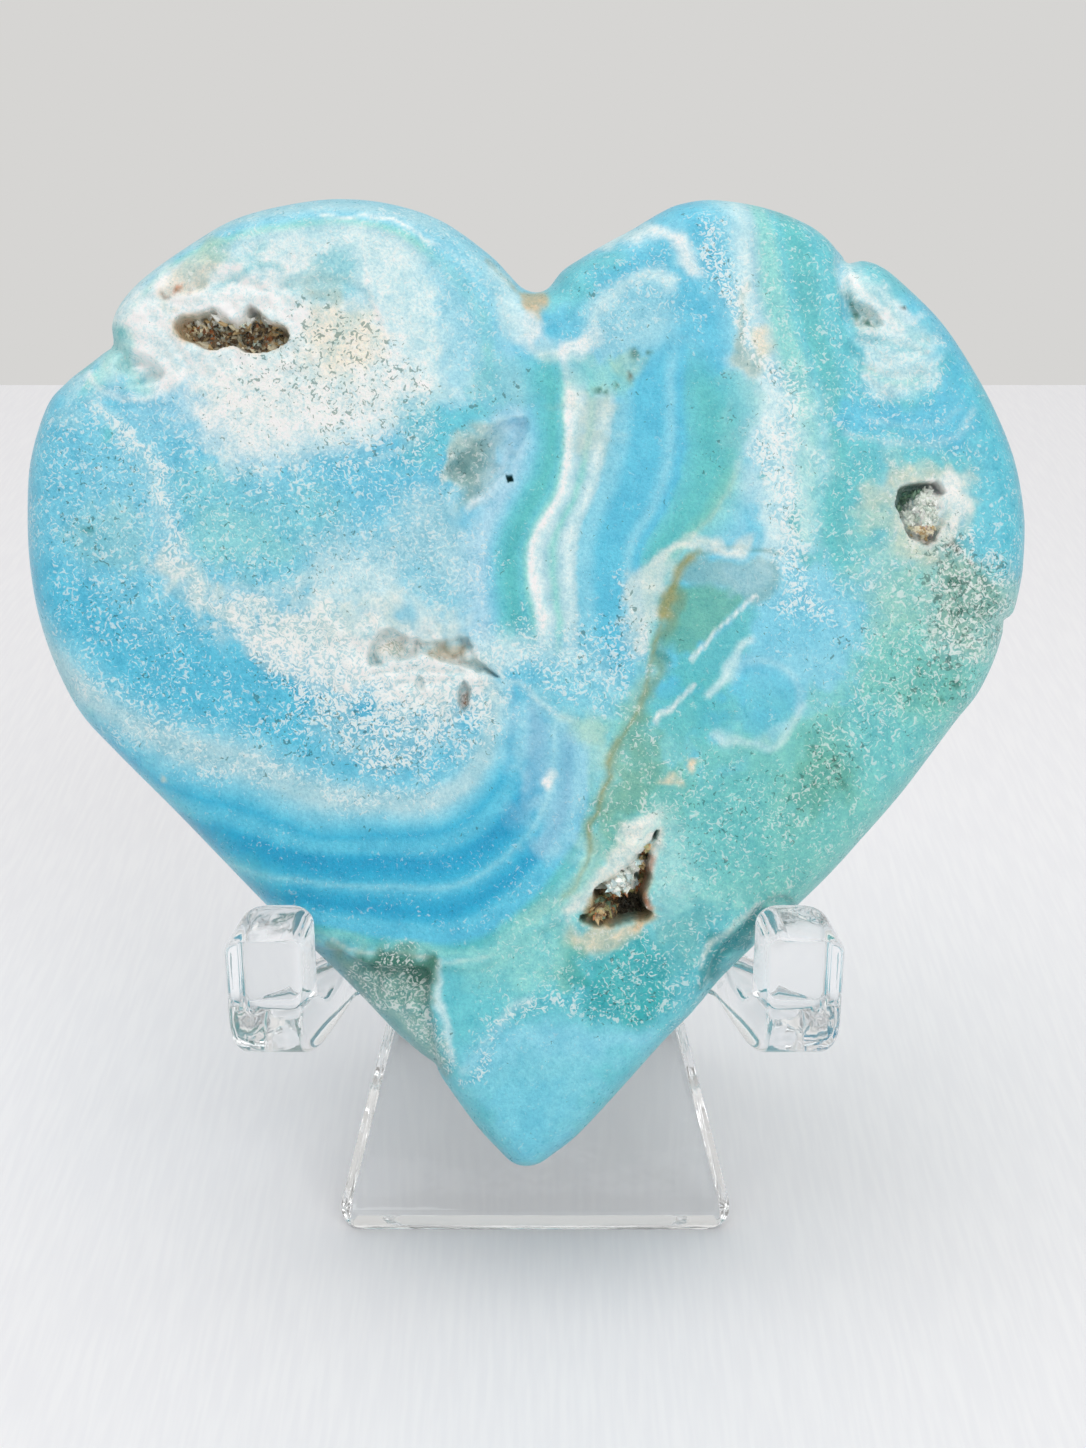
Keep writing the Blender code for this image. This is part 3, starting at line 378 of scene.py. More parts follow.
         (4.1, "azure"), (4.4, "azure"), (4.7, "sky"), (4.9, "azure"), (5.0, "azure"),
         (5.1, "lagoon"), (5.35, "teal"), (5.6, "teal"), (5.82, "sea"), (5.94, "sage"),
         (6.0, "aqua")]),
    Patch("teal", 0.45, 1.6, [
        (-4.6, 79.6), (0, 81), (5, 80), (6, 77.6), (3, 77), (0, 76), (-4, 76)]),
    Patch("aqua", 0.7, 0.9, [(4.6, 79), (8.4, 80), (11, 78), (9, 76.4), (5, 76.4)]),
    Patch("sage", 0.6, 0.6, [(8, 79.6), (11, 80.3), (12.6, 79.6), (10.6, 77.8), (8.4, 78.6)]),
    Patch("stone", 0.6, 1.4, [(4.4, 76), (8, 76), (7.4, 71), (5, 71)]),
    # The pale feathered column and the streaks right of it
    Bands(0.95, 1.6, [
        (15.6, 98), (17, 92), (18, 85), (19.4, 79), (21.4, 73), (22.4, 66), (22.6, 62), (30, 60),
        (34, 62), (35, 72), (34, 78), (31.6, 84), (31.4, 92), (28, 98)], RIGHT_TOP_GUIDES,
        [(0, "azure"), (0.4, "sky"), (0.85, "ice"), (1.1, "mist"), (1.4, "aqua"), (1.7, "aqua"),
         (2.0, "lagoon"), (2.25, "teal"), (2.6, "teal"), (2.9, "lagoon"), (3.4, "lagoon"),
         (3.7, "sky"), (4.0, "mist")]),
    Patch("ice", 0.6, 2.4, [
        (19, 80), (22, 80), (26, 78), (28.6, 72), (28, 62), (25, 56), (23, 62), (21.6, 70)]),
    Patch("ice", 0.4, 1.6, [(20.6, 78), (25, 77), (25.8, 70), (24.6, 63), (23, 63), (22, 71)]),
    Patch("stone", 0.75, 0.45, [
        (19, 81.4), (20.4, 84.2), (21.5, 87.2), (22.4, 86.8), (21.6, 83), (23.6, 82.4),
        (22.4, 80.4), (20.4, 78.8), (19.2, 79.6)]),
    Patch("slate", 0.4, 0.35, [
        (19.3, 81.2), (20.6, 84), (21.2, 84), (21, 81.4), (22.2, 80.6), (20.4, 79.4)]),
    Patch("cream", 0.7, 0.6, [(22.8, 83.6), (24, 84.4), (24.8, 83.2), (24, 82.2), (23, 82.4)]),
    Patch("teal", 0.6, 1.2, [(17, 76.6), (19.4, 79), (21.6, 77), (21, 72), (18, 71)]),
    # The right shoulder
    Patch("ice", 0.85, 1.4, [
        (31.4, 90), (35, 89.4), (39.6, 85), (41, 81), (38, 78), (34, 77.8), (32.4, 81), (32, 85)]),
    Patch("white", 0.6, 0.9, [(31.8, 89), (34.6, 88.8), (38.6, 85.4), (36, 84), (33.8, 86)]),
    Patch("stone", 0.6, 0.6, [
        (31.2, 86.4), (33.4, 86.2), (34.6, 84.6), (32.6, 83.9), (31.3, 84.9)]),
    Stroke("lagoon", 0.5, 0.3, 0.4, [(31.8, 83.3), (34.6, 82.9), (38, 82.3)]),
    Stroke("lagoon", 0.5, 0.4, 0.4, [(31.4, 81.6), (33.2, 78.4), (36, 76.8)]),
    Stroke("lagoon", 0.5, 0.4, 0.5, [(33, 89.4), (36.4, 86.4), (39.4, 82.4)]),
    Stroke("aqua", 0.6, 0.3, 0.4, [(32.8, 80), (35.6, 79.2), (38.6, 79.6)]),
    Stroke("azure", 0.8, 1.4, 1.2, [(38.6, 87.6), (42, 83), (45, 78), (47.4, 72)]),
    Patch("azure", 0.9, 1.8, [
        (31, 77), (38, 77.4), (43, 79.6), (46, 74), (42, 72.6), (36, 73), (31, 73)]),
    Patch("lagoon", 0.9, 1.4, [
        (44, 79), (49, 74), (52, 64), (48, 60.6), (43, 62), (43, 69), (44, 74)]),
    Stroke("mist", 0.7, 0.3, 0.4, [(31, 73.6), (36, 72.4), (40.4, 72.8), (43, 74.4), (44, 76.4)]),
    Stroke("mist", 0.4, 0.25, 0.35, [(33, 75.2), (37, 74.4), (41, 75), (42.6, 76.4)]),
    Patch("azure", 0.4, 2.0, [(44, 76), (50, 74), (52, 64), (48, 59), (43, 62), (43, 69)]),
    Patch("teal", 0.6, 1.8, [
        (30.6, 72), (36, 71), (42, 71.4), (43, 69.8), (36, 69), (34.6, 64), (31, 58), (29.6, 64)]),
    Patch("cream", 0.65, 1.4, [
        (33.6, 67), (36, 70), (41, 70.6), (43.6, 69.6), (42.6, 63), (40.6, 60.6), (37.6, 60.6),
        (35, 63)]),
    Patch("white", 0.75, 0.8, [
        (40.6, 69.6), (43.2, 69.6), (42.6, 64.4), (41.2, 62.4), (40.8, 65)]),
    Patch("sage", 0.5, 1.8, [(33.6, 66), (36, 62.4), (39, 60), (39, 56), (35, 55), (32.4, 59)]),
    Patch("stone", 0.45, 1.8, [
        (40, 63), (44, 61), (48, 60.4), (48, 54), (44, 51), (40, 52.6), (39.4, 57)]),
    Patch("moss", 0.5, 1.4, [(41, 60), (45, 60), (46, 56), (44, 53), (41, 55)]),
    Patch("jade", 0.4, 1.4, [(38, 52), (43, 51), (43, 46.6), (38.6, 46.6)]),
    # The blue patch, the clear windows and the blob
    Patch("sky", 0.9, 1.8, [
        (21.6, 58), (26, 62), (30, 61), (31.4, 54), (28, 49), (23, 50), (21, 54)]),
    Patch("azure", 0.35, 1.4, [(22, 55), (25, 57), (28.6, 55), (27, 51.6), (23, 51.6)]),
    Patch("jade", 0.85, 0.45, [
        (15, 56), (15.6, 58.6), (17.6, 59.4), (20, 58.8), (21.8, 57.6), (20, 54.8), (17.6, 52.4),
        (15.4, 51.4), (14.3, 53)]),
    Patch("slate", 0.55, 0.45, [
        (15.6, 59.6), (17.6, 61.8), (21, 62), (24.4, 61.6), (24.4, 58.4), (22.8, 57), (20.6, 59)]),
    Patch("mist", 0.5, 0.6, [(20, 61.4), (23.4, 61.4), (23.6, 58.6), (21.4, 58.8)]),
    Stroke("pine", 0.5, 0.12, 0.2, [(17.2, 62), (19.6, 62.3), (22, 62.2), (24.6, 61.8)]),
    Patch("teal", 0.8, 0.6, [
        (15.6, 51), (19, 53.4), (22.4, 56.6), (23, 53.4), (20.6, 50.6), (18, 47.6), (16, 47.6),
        (14, 49)]),
    Patch("azure", 0.6, 0.5, [
        (20, 49.8), (22.4, 50.6), (25.2, 49.6), (25.8, 46.6), (23.6, 44.2), (20.8, 44.4),
        (19.2, 46.8)]),
    Stroke("ice", 0.35, 0.3, 0.5, [
        (19.4, 49), (21, 50.6), (23.4, 50.8), (25.4, 49.6), (26, 47), (24.8, 44.8), (22.4, 43.8)]),
    Patch("teal", 0.8, 1.4, [
        (12, 46), (15, 48.6), (18, 48), (18.6, 44), (15.6, 43.2), (12.6, 43.6)]),
    Stroke("white", 0.85, 0.16, 0.18, [
        (16.1, 51), (18.3, 53), (20, 54.6), (21.2, 56.2), (22.6, 57.4)]),
    Stroke("white", 0.8, 0.14, 0.18, [(12.4, 44.9), (14.4, 46.8), (16, 48.4)]),
    Stroke("ice", 0.8, 0.3, 0.3, [(17.4, 47.6), (19, 49.2), (20.4, 51), (21.6, 52.6), (23, 53)]),
    Stroke("ice", 0.6, 0.3, 0.35, [(18.6, 44.2), (21.4, 43.2), (24.6, 43.8), (26.4, 46.4)]),
    # The greens of the lower right
    Patch("moss", 0.3, 2.2, [(27, 42), (31, 42), (32, 38), (29, 36), (27, 38)]),
    Patch("jade", 0.7, 1.8, [
        (26, 43), (30, 43.4), (33, 40), (31, 35.6), (27.6, 36.4), (25.6, 39.4)]),
    Patch("teal", 0.5, 1.8, [(14, 40), (20, 42), (24, 38), (24, 32), (18, 30), (15, 34)]),
    Patch("lagoon", 0.4, 1.8, [(31, 47), (36, 48), (40, 43), (36, 38), (32, 41)]),
    Patch("jade", 0.4, 1.8, [(13, 41.4), (16, 42), (16.4, 36.4), (13.4, 34.6), (11.6, 37)]),
    # The golden vein and what lies beside it
    Patch("jade", 0.6, 1.6, [
        (12.6, 48), (12, 44), (13, 40), (11, 34), (8, 31.6), (6.6, 33), (7.6, 38), (8.4, 43),
        (10, 46)]),
    Patch("moss", 0.4, 2.0, [(11.6, 45), (11.6, 40), (10, 35), (7.4, 34), (8, 39), (9, 43)]),
    Patch("pearl", 0.75, 1.0, [
        (10.6, 59), (13.6, 61), (14.4, 58.6), (13.2, 54), (11.6, 51.4), (10, 53)]),
    Stroke("sage", 0.6, 0.8, 0.8, [(13.4, 52), (12, 48.6), (10, 45.6)]),
    Stroke("pearl", 0.8, 0.4, 0.4, [
        (13, 60.4), (14.6, 61.4), (16.6, 62.8), (18.4, 63), (21, 62.8)]),
    Stroke("moss", 0.7, 0.5, 0.6, [
        (15.6, 58.6), (14.6, 55), (13.8, 52.4), (13, 49.6), (12, 47), (10.4, 45)]),
    Stroke("moss", 0.7, 0.5, 0.5, [(15.8, 58), (15.2, 55.6), (14.4, 53.4)]),
    Stroke("olive", 0.8, 0.3, 0.4, [(16.8, 61.6), (15.4, 60), (14.9, 58.4)]),
    Stroke("olive", 0.85, 0.7, 0.4, [(14.7, 57.8), (14.3, 56.4), (13.8, 55)]),
    Stroke("olive", 0.65, 0.16, 0.3, [
        (17.6, 62.2), (15.1, 60), (14.7, 57.4), (13.7, 55), (13, 52.5), (12.4, 49.6), (11.4, 47),
        (10, 45.2), (8.3, 43.2), (7.6, 41), (7.4, 38), (6.5, 35.6), (5.9, 33), (4.6, 30.4),
        (3, 28)]),
    Stroke("olive", 0.5, 0.35, 0.5, [(8.2, 43), (7.6, 41), (7.4, 38), (6.5, 35.6), (5.9, 33)]),
    Stroke("sage", 0.6, 0.7, 0.9, [(6, 33), (4.6, 29.6), (2.6, 27.4), (0, 25)]),
    Patch("cream", 0.9, 0.3, [(15.6, 42), (16.6, 42.2), (17.2, 41.4), (16.6, 40.9), (15.7, 41.3)]),
    Patch("cream", 0.8, 0.3, [(12.8, 40.1), (14, 40.2), (15.4, 39.6), (14, 39.4)]),
    # Round the lower hollow
    Patch("pearl", 0.9, 0.7, [
        (12.6, 36), (14.2, 35.6), (12, 33), (9, 30.2), (7, 29), (5.4, 26.6), (4.4, 25), (5.4, 24),
        (4, 27), (6, 31), (9, 33.6)]),
    Patch("ice", 0.25, 1.4, [
        (13, 36), (15.4, 36), (15.4, 29), (14.6, 25), (12.8, 24.6), (13, 30)]),
    Patch("cream", 0.9, 0.6, [
        (5, 25.6), (8, 25.4), (12, 25.8), (12.6, 24.6), (10, 23.2), (6.6, 23.6), (5, 24.4)]),
    Patch("tan", 0.6, 0.5, [(10.8, 26), (13, 27), (13, 25), (11, 24.6)]),
    Patch("jade", 0.8, 1.2, [
        (4, 25), (6.4, 23.8), (5.6, 21), (3.4, 19.4), (2, 20.2), (3.4, 22.4)]),
    # The bottom
    Patch("aqua", 0.8, 1.8, [(0, 25), (4.6, 24.6), (3, 20), (-3, 19), (-6, 21)]),
    Patch("emerald", 0.7, 1.6, [
        (5, 18.6), (5, 21), (8, 23.4), (12.6, 23), (13.6, 20), (12.2, 15.6), (10, 14.4), (9, 17),
        (6, 17.4)]),
    Patch("teal", 0.6, 1.2, [(7, 22), (10, 22.6), (12, 21), (10.6, 19), (8, 19.6)]),
    Patch("aqua", 0.6, 1.0, [(14, 25), (17.4, 26), (18.6, 22.6), (16.6, 20.6)]),
    Patch("lagoon", 0.6, 1.6, [(-9, 19), (-5, 20.6), (-1, 19.4), (0.6, 16), (-4, 13), (-7.6, 12)]),
    Stroke("ice", 0.6, 0.35, 0.5, [
        (-7, 11), (-5.6, 12.6), (-4, 14.4), (-2.4, 16), (-1, 17.6), (1, 18.4)]),
    Patch("petrol", 0.3, 2.0, [(13, 26), (18, 27), (19, 22), (14, 19)]),
    Stroke("sky", 0.8, 1.6, 1.6, [(-6, 12.4), (-2, 14), (3, 14.4), (8, 13.6), (11, 13.6)]),
    Patch("sky", 0.6, 2.2, [(-7, 10), (0, 15), (9, 13), (6, 5), (0, 1), (-4, 5)]),
    Stroke("ice", 0.8, 0.45, 0.4, [
        (-9.7, 20.4), (-9, 18.6), (-8.7, 16.6), (-8.6, 14.6), (-8.9, 12.6)]),
    Patch("azure", 0.35, 2.4, [(-4, 9), (4, 9), (3, 3), (0, 0), (-3, 3)]),
    Patch("slate", 0.85, 1.0, [
        (-22, 22.6), (-16, 21), (-10, 21), (-9.8, 16.6), (-9.4, 10), (-13, 11), (-18, 17)]),
    Patch("moss", 0.4, 1.0, [(-20, 22), (-10, 21), (-10, 16), (-15, 17)]),
    Patch("sage", 0.4, 1.0, [(-16, 17), (-12, 17.4), (-10.2, 15.6), (-10, 12), (-13, 13)]),
    # Painted shade: the top of the left recess, just under the ledge, is darkened
    Patch("pine", 0.9, 0.7, [
        (-17.4, 21.8), (-13, 21.4), (-9.9, 21.4), (-9.9, 19), (-11.4, 18.6), (-14.4, 20)]),
    Patch("petrol", 0.8, 0.6, [
        (21.6, 26), (22.6, 27.2), (25, 27), (22, 22), (18.4, 18.6), (18.4, 21.6), (20, 23.8)]),
    Stroke("pearl", 0.6, 0.2, 0.25, [
        (22.6, 27.3), (21.6, 25.9), (20.6, 24.6), (19.6, 23.6), (18.5, 22.4), (17.9, 21)]),
]

# Single spots on the face
Dot = namedtuple("Dot", "colour across up radius")
DOTS = [
    Dot("pine", 5.7, 77, 0.5), Dot("pine", 7, 76.5, 0.4), Dot("pine", 8.5, 77.4, 0.4),
    Dot("pine", 11.3, 80.3, 0.5), Dot("pine", 12.8, 80.3, 0.45), Dot("umber", 10.8, 78.3, 0.5),
    Dot("umber", 41.5, 62.2, 0.45), Dot("umber", 42.5, 61.5, 0.4), Dot("umber", 43.5, 60.8, 0.45),
    Dot("black", 37.3, 87.2, 0.35), Dot("stone", -36.6, 41.1, 0.5), Dot("white", 1.8, 39.3, 0.5),
    Dot("teal", 26.3, 64.9, 0.8), Dot("teal", 27.7, 61.7, 0.6), Dot("teal", 23.6, 69.4, 0.5),
    Dot("cream", 16.3, 41.5, 0.6), Dot("cream", 13.5, 40, 0.5), Dot("umber", -33.5, 87.5, 0.45),
    Dot("umber", -13.9, 52.4, 0.35), Dot("umber", -11.2, 52.5, 0.3), Dot("umber", -9.6, 52.5, 0.35),
    Dot("umber", -7, 52, 0.3), Dot("umber", -35.5, 88, 0.4), Dot("rust", -34.5, 88.5, 0.35),
    Dot("petrol", 14, 51, 0.5),
    Dot("pine", 39, 51, 0.4), Dot("pine", 42, 49, 0.5), Dot("pine", 40.5, 47.5, 0.4),
    Dot("pine", 44, 46.6, 0.4), Dot("pine", 28, 43, 0.4), Dot("pine", 30, 41, 0.5),
    Dot("pine", 28.6, 38.6, 0.4), Dot("pine", 31, 37.6, 0.4), Dot("pine", 42.6, 58, 0.5),
    Dot("pine", 44.6, 59.4, 0.5), Dot("pine", 43.4, 55.6, 0.45), Dot("rust", -6.1, 47.4, 0.4),
    Dot("lagoon", -41.4, 73.4, 0.7), Dot("petrol", -43.8, 65.2, 0.5),
    Dot("pine", 32.2, 84.9, 0.6), Dot("pine", 33.7, 84.7, 0.4), Dot("pine", 31.8, 85.9, 0.4),
]

# Rough, sugary ground. The opacity is how rough it is.
ROUGH = [
    Patch(None, 1.0, 2.0, [
        (-42, 84), (-37, 90.6), (-30, 91), (-22, 89), (-21, 80), (-30, 78), (-40, 78)]),
    Patch(None, 0.9, 2.0, [
        (-18, 56), (-10, 56.4), (-3, 55), (-2, 50), (-5, 45), (-12, 46), (-18, 50)]),
    Patch(None, 0.8, 2.0, [(31, 90), (36, 89), (41, 83), (40, 77), (33, 77)]),
    Patch(None, 0.7, 2.0, [(39, 64), (48, 60), (47, 52), (40, 50)]),
    Patch(None, 0.8, 1.0, [(-8, 70.4), (-1, 75.4), (0.4, 74.6), (-3, 68), (-6, 66.6)]),
    Patch(None, 0.7, 1.4, [(3, 32), (14, 37), (16, 30), (14, 24), (4, 23)]),
]

# Inside the hollows, painted last and without any wander
HOLLOW_LAYERS = [
    Patch("tan", 0.5, 0.4, CRYSTAL_HOLLOWS["upper_left"].outline),
    Patch("white", 0.95, 0.4, [
        (-35, 86), (-33.4, 85.5), (-31.2, 85.6), (-29.8, 84.5), (-28.2, 83.7), (-27.1, 85.2),
        (-25.6, 85.7), (-23.6, 84.5), (-24, 87), (-30, 87.6), (-35, 86.8)]),
    Patch("tan", 0.7, 0.5, [(-34.6, 84.6), (-33.2, 84.4), (-32.6, 83), (-34.2, 82.8)]),
    Patch("tan", 0.7, 0.5, CRYSTAL_HOLLOWS["lower"].outline),
    # Painted shade: the lower hollow's deep pocket is painted black
    Patch("black", 0.9, 0.5, [(9, 27.6), (11.6, 28), (12, 26.4), (9.4, 25.8)]),
    Patch("tan", 0.7, 0.5, [(5.6, 26), (6.8, 28), (8.4, 27.4), (8.6, 25.8), (7, 25.4)]),
    Patch("pearl", 0.95, 0.5, [
        (6.6, 28.8), (9, 30.9), (13, 35), (12.6, 32), (12.2, 30), (10.8, 28.8), (9.4, 27.9),
        (8.2, 28.2)]),
    Stroke("rust", 0.7, 0.3, 0.3, [(12.4, 32), (12, 30.4), (11.6, 28.6), (12.2, 27)]),
    Patch("white", 0.9, 0.5, CRYSTAL_HOLLOWS["right"].outline),
    Patch("pine", 0.8, 0.5, [
        (36.2, 66.6), (36.8, 68.4), (39.2, 68.8), (38.6, 67.8), (37.5, 67.2), (37, 65.8)]),
    Patch("rust", 0.5, 0.5, [(37.6, 64.4), (39.4, 64.9), (40.2, 64), (39.2, 62.8)]),
    Patch("pearl", 0.6, 0.5, [
        (-15.2, 51.9), (-13.2, 53.6), (-8.3, 52.9), (-5.6, 52.6), (-4, 50.8), (-8, 51.8),
        (-11.4, 52.3)]),
    Patch("tan", 0.35, 0.3, [(-14.8, 52.4), (-13.4, 53.6), (-12.6, 53.4), (-12.4, 52)]),
    Patch("tan", 0.45, 0.3, [(-9.8, 52), (-8.4, 53), (-6, 53), (-6, 52), (-8, 51.6)]),
    Patch("rust", 0.7, 0.3, [(-6.3, 48), (-5.8, 48.2), (-5.9, 47), (-6.3, 46.9)]),
    Patch("pine", 0.9, 0.2, [(-2.0, 69.6), (-1.4, 69.5), (-1.3, 68.9), (-1.9, 68.8)]),
]

# Where white flecks and dark specks lie. The opacity is how thick.
FLECKS = [
    Stroke(None, 1.0, 1.6, 2.2, [
        (-41, 76), (-38, 71), (-36, 66), (-34, 61), (-31, 57), (-27, 54), (-22, 52), (-17, 49),
        (-10, 46)]),
    Patch(None, 0.8, 3.0, [(-30, 70), (-20, 73), (-8, 78), (-6, 76), (-14, 70), (-24, 68)]),
    Patch(None, 0.95, 3.0, [
        (-30, 56), (-20, 58), (-14, 55), (-4, 50), (-4, 42), (-14, 42), (-24, 46)]),
    Patch(None, 0.6, 3.0, [(-46, 58), (-36, 56), (-28, 50), (-22, 46), (-26, 43), (-38, 47)]),
    Stroke(None, 0.75, 2.0, 2.6, [
        (-44, 49), (-38, 46.5), (-30, 43), (-22, 41), (-14, 39.5), (-7, 41)]),
    Stroke(None, 0.25, 1.4, 1.2, [(-30, 33), (-20, 31), (-10, 30.5), (-3, 33)]),
    Stroke(None, 0.3, 1.8, 1.2, [(-24, 27), (-14, 25), (-4, 26), (2, 31)]),
    Patch(None, 0.7, 2.4, [(-4, 55), (4, 55), (10, 56), (12, 50), (8, 46), (0, 46), (-4, 50)]),
    Stroke(None, 0.95, 2.4, 2.8, [
        (19, 92), (20.6, 88), (23, 82), (24.4, 77), (25, 72), (26, 64), (27, 56)]),
    Patch(None, 0.6, 3.0, [
        (30, 66), (38, 60), (47, 60), (46, 50), (38, 42), (30, 34), (22, 34), (26, 44), (30, 52)]),
    Patch(None, 0.8, 2.0, [(40, 63), (47, 61), (47, 52), (41, 51)]),
    Patch(None, 0.5, 2.4, [(14, 42), (24, 42), (26, 32), (16, 28), (13, 34)]),
    Stroke(None, 0.7, 1.2, 1.6, [
        (11, 60), (12, 54), (11.4, 50), (9, 46), (10.4, 42), (12, 38), (14, 34)]),
    Stroke(None, 0.9, 0.8, 1.2, [(-8, 11), (-5, 14), (-1, 17.6), (3, 18.4)]),
    Patch(None, 0.6, 1.6, [(-7, 13), (0, 20), (12, 24), (16, 20), (12, 16), (2, 17)]),
    Patch(None, 0.4, 2.4, [(-2, 26), (14, 30), (14, 24), (2, 20), (-4, 21)]),
    Patch(None, 0.6, 2.0, [(32, 89), (41, 84), (41, 78), (32, 78)]),
    Patch(None, 0.5, 2.4, [(8, 46), (13, 48), (13, 34), (6, 32)]),
    Patch(None, 0.4, 1.0, [(-8, 70), (-3, 74.6), (0, 74.6), (-2.4, 69), (-5.6, 66.6)]),
    Patch(None, 0.5, 3.0, [(4, 86), (10, 92), (16, 88), (14, 80), (6, 80)]),
    Patch(None, 0.5, 4.0, [
        (22, 98), (34, 94), (44, 80), (52, 66), (48, 48), (30, 28), (14, 12), (12, 20), (24, 40),
        (28, 60)]),
    Patch(None, 0.45, 3.0, [
        (-40, 88), (-20, 98), (-2, 92), (0, 78), (-10, 76), (-24, 80), (-40, 80)]),
    Patch(None, 0.55, 3.0, [
        (-52, 74), (-40, 80), (-8, 78), (-5, 58), (-20, 56), (-36, 48), (-50, 54)]),
    Patch(None, 0.45, 2.4, [(-8, 12), (-4, 20), (6, 24), (14, 22), (13, 17), (4, 17), (-4, 14)]),
    Patch(None, 0.75, 1.0, [(-19, 20.4), (-10.6, 19.4), (-9.8, 11), (-14, 13)]),
]
SPECKS = [
    Patch(None, 1.0, 1.6, [(-23, 86), (-15.6, 86.4), (-14, 81), (-22, 80)]),
    Patch(None, 0.9, 2.4, [
        (-24, 84), (-20, 87), (-15, 85), (-9, 80), (-8, 75), (-20, 74), (-30, 79)]),
    Patch(None, 0.5, 2.4, [(-33, 78), (-22, 79), (-10, 77), (-14, 71), (-30, 70)]),
    Patch(None, 0.75, 2.4, [
        (-28, 53), (-18, 50), (-6, 47), (-5, 41), (-14, 40), (-24, 43), (-30, 49)]),
    Patch(None, 0.6, 2.4, [(-47, 60), (-38, 61), (-30, 52), (-26, 46), (-36, 48), (-45, 54)]),
    Patch(None, 0.6, 2.4, [(-48, 72), (-40, 72), (-38, 62), (-48, 60)]),
    Patch(None, 0.5, 2.4, [(-34, 70), (-16, 72), (-16, 60), (-30, 58)]),
    Patch(None, 0.6, 1.5, [(5, 89.5), (8, 90), (7, 87), (3, 87)]),
    Stroke(None, 0.5, 3.0, 1.8, [(19, 93), (21, 88), (24, 80), (25, 72), (26, 64)]),
    Patch(None, 0.5, 2.4, [(17, 80), (21, 80), (21, 70), (16, 70)]),
    Patch(None, 1.0, 2.4, [(38, 63), (48, 60), (46, 50), (40, 46), (38, 54)]),
    Patch(None, 0.8, 2.4, [(24, 44), (33, 44), (33, 35), (26, 35)]),
    Patch(None, 0.5, 3.0, [(28, 56), (38, 58), (44, 46), (34, 38), (24, 34), (24, 44)]),
    Patch(None, 0.6, 2.4, [(14, 42), (24, 42), (24, 33), (16, 30)]),
    Patch(None, 0.7, 2.0, [(4, 20), (8, 24), (13, 22), (12, 15), (7, 15)]),
    Patch(None, 0.6, 2.0, [(4, 54), (10, 56), (10, 48), (3, 48)]),
    Patch(None, 0.6, 2.0, [(-10, 76), (0, 80), (4, 79), (-2, 72), (-8, 66)]),
    Patch(None, 0.5, 2.0, [(8, 84), (12, 86), (14, 80), (6, 77)]),
    Patch(None, 0.8, 1.5, [(9, 58), (13, 60), (14, 54), (11, 50), (9, 52)]),
]


def linear(colour):
    """A colour as the eye sees it, 0 to 255, as light values."""
    share = np.array(colour, float) / 255
    return np.where(share <= 0.04045, share / 12.92, ((share + 0.055) / 1.055) ** 2.4)


LIGHT = {name: linear(colour) for name, colour in PALETTE.items()}

# One kind of noise: how strong it is, how large its lumps are, and its seed
Noise = namedtuple("Noise", "amount size seed")
NOISE_CELLS = 256

# How far what is painted wanders from where it is drawn. The next seed is for the other axis.
PATCH_WANDER = (Noise(1.3, 6.0, 1), Noise(0.6, 2.2, 3), Noise(0.4, 0.9, 5))
BAND_WANDER = (Noise(0.5, 7.0, 1), Noise(0.1, 1.2, 3))
THIN_WANDER = (Noise(0.9, 6.0, 1), Noise(0.35, 1.6, 3))
HOLLOW_WANDER = (Noise(0.12, 0.6, 21),)
THIN_STROKE = 0.4
FLECK_WANDER = 2.0

RAGGED_EDGE = (Noise(0.6, 0.9, 51),)
UNEVEN_BANDS = (Noise(0.05, 6.0, 11), Noise(0.02, 0.7, 13))
UNEVEN_FRONT = (Noise(0.05, 3.0, 31), Noise(0.012, 0.7, 32))
UNEVEN_ROUGH = (Noise(0.2, 1.1, 34), Noise(0.12, 0.6, 35))
UNEVEN_BACK = (Noise(0.05, 3.4, 33),)
UNEVEN_FLOOR = (Noise(0.14, 1.1, 23),)

PAINT_STEP = 0.6
BAND_STEP = 1.0
BEFORE_FIRST_GUIDE = 0.25
DOT_STRENGTH = 0.75
DOT_REACH = 1.4
DARKEST = 0.004
FLECKS_EVERYWHERE = 0.1
SPECKS_EVERYWHERE = 0.15

HOLLOW_STEP = 0.5
HOLLOW_MARGIN = 0.5
LEAST_ON_LUMP = 0.12
FRONT_MARGIN = 0.6
BACK_MARGIN = 0.9
BACK_LOWERED = 0.06

# The back's colours are read this far from the front's, away from the edge
DRIFT = 9.0
DRIFT_RUN = 9.0
DRIFT_SIZE = 14.0
DRIFT_SEEDS = (41, 43)
# Painted shade along the rounded edge: the colour is multiplied by this tint at the outline and
# eases back to full over this width, in millimetres
PAINTED_EDGE_SHADE = np.array([0.62, 0.84, 0.88])
PAINTED_EDGE_SHADE_WIDTH = 2.2


def smooth_line(points, step, closed):
    """Points about one step apart along a Catmull-Rom curve through the given points."""
    knots = np.array(points, float)
    if closed:
        knots = np.vstack([knots[-1], knots, knots[:2]])
    else:
        knots = np.vstack([2 * knots[0] - knots[1], knots, 2 * knots[-1] - knots[-2]])
    made = []
    for before, start, end, after in zip(knots, knots[1:], knots[2:], knots[3:]):
        pieces = max(1, round(np.linalg.norm(end - start) / step))
        for t in np.arange(pieces) / pieces:
            made.append(0.5 * (2 * start + (end - before) * t
                               + (2 * before - 5 * start + 4 * end - after) * t ** 2
                               + (3 * start - 3 * end + after - before) * t ** 3))
    if not closed:
        made.append(knots[-2])
    return np.array(made)


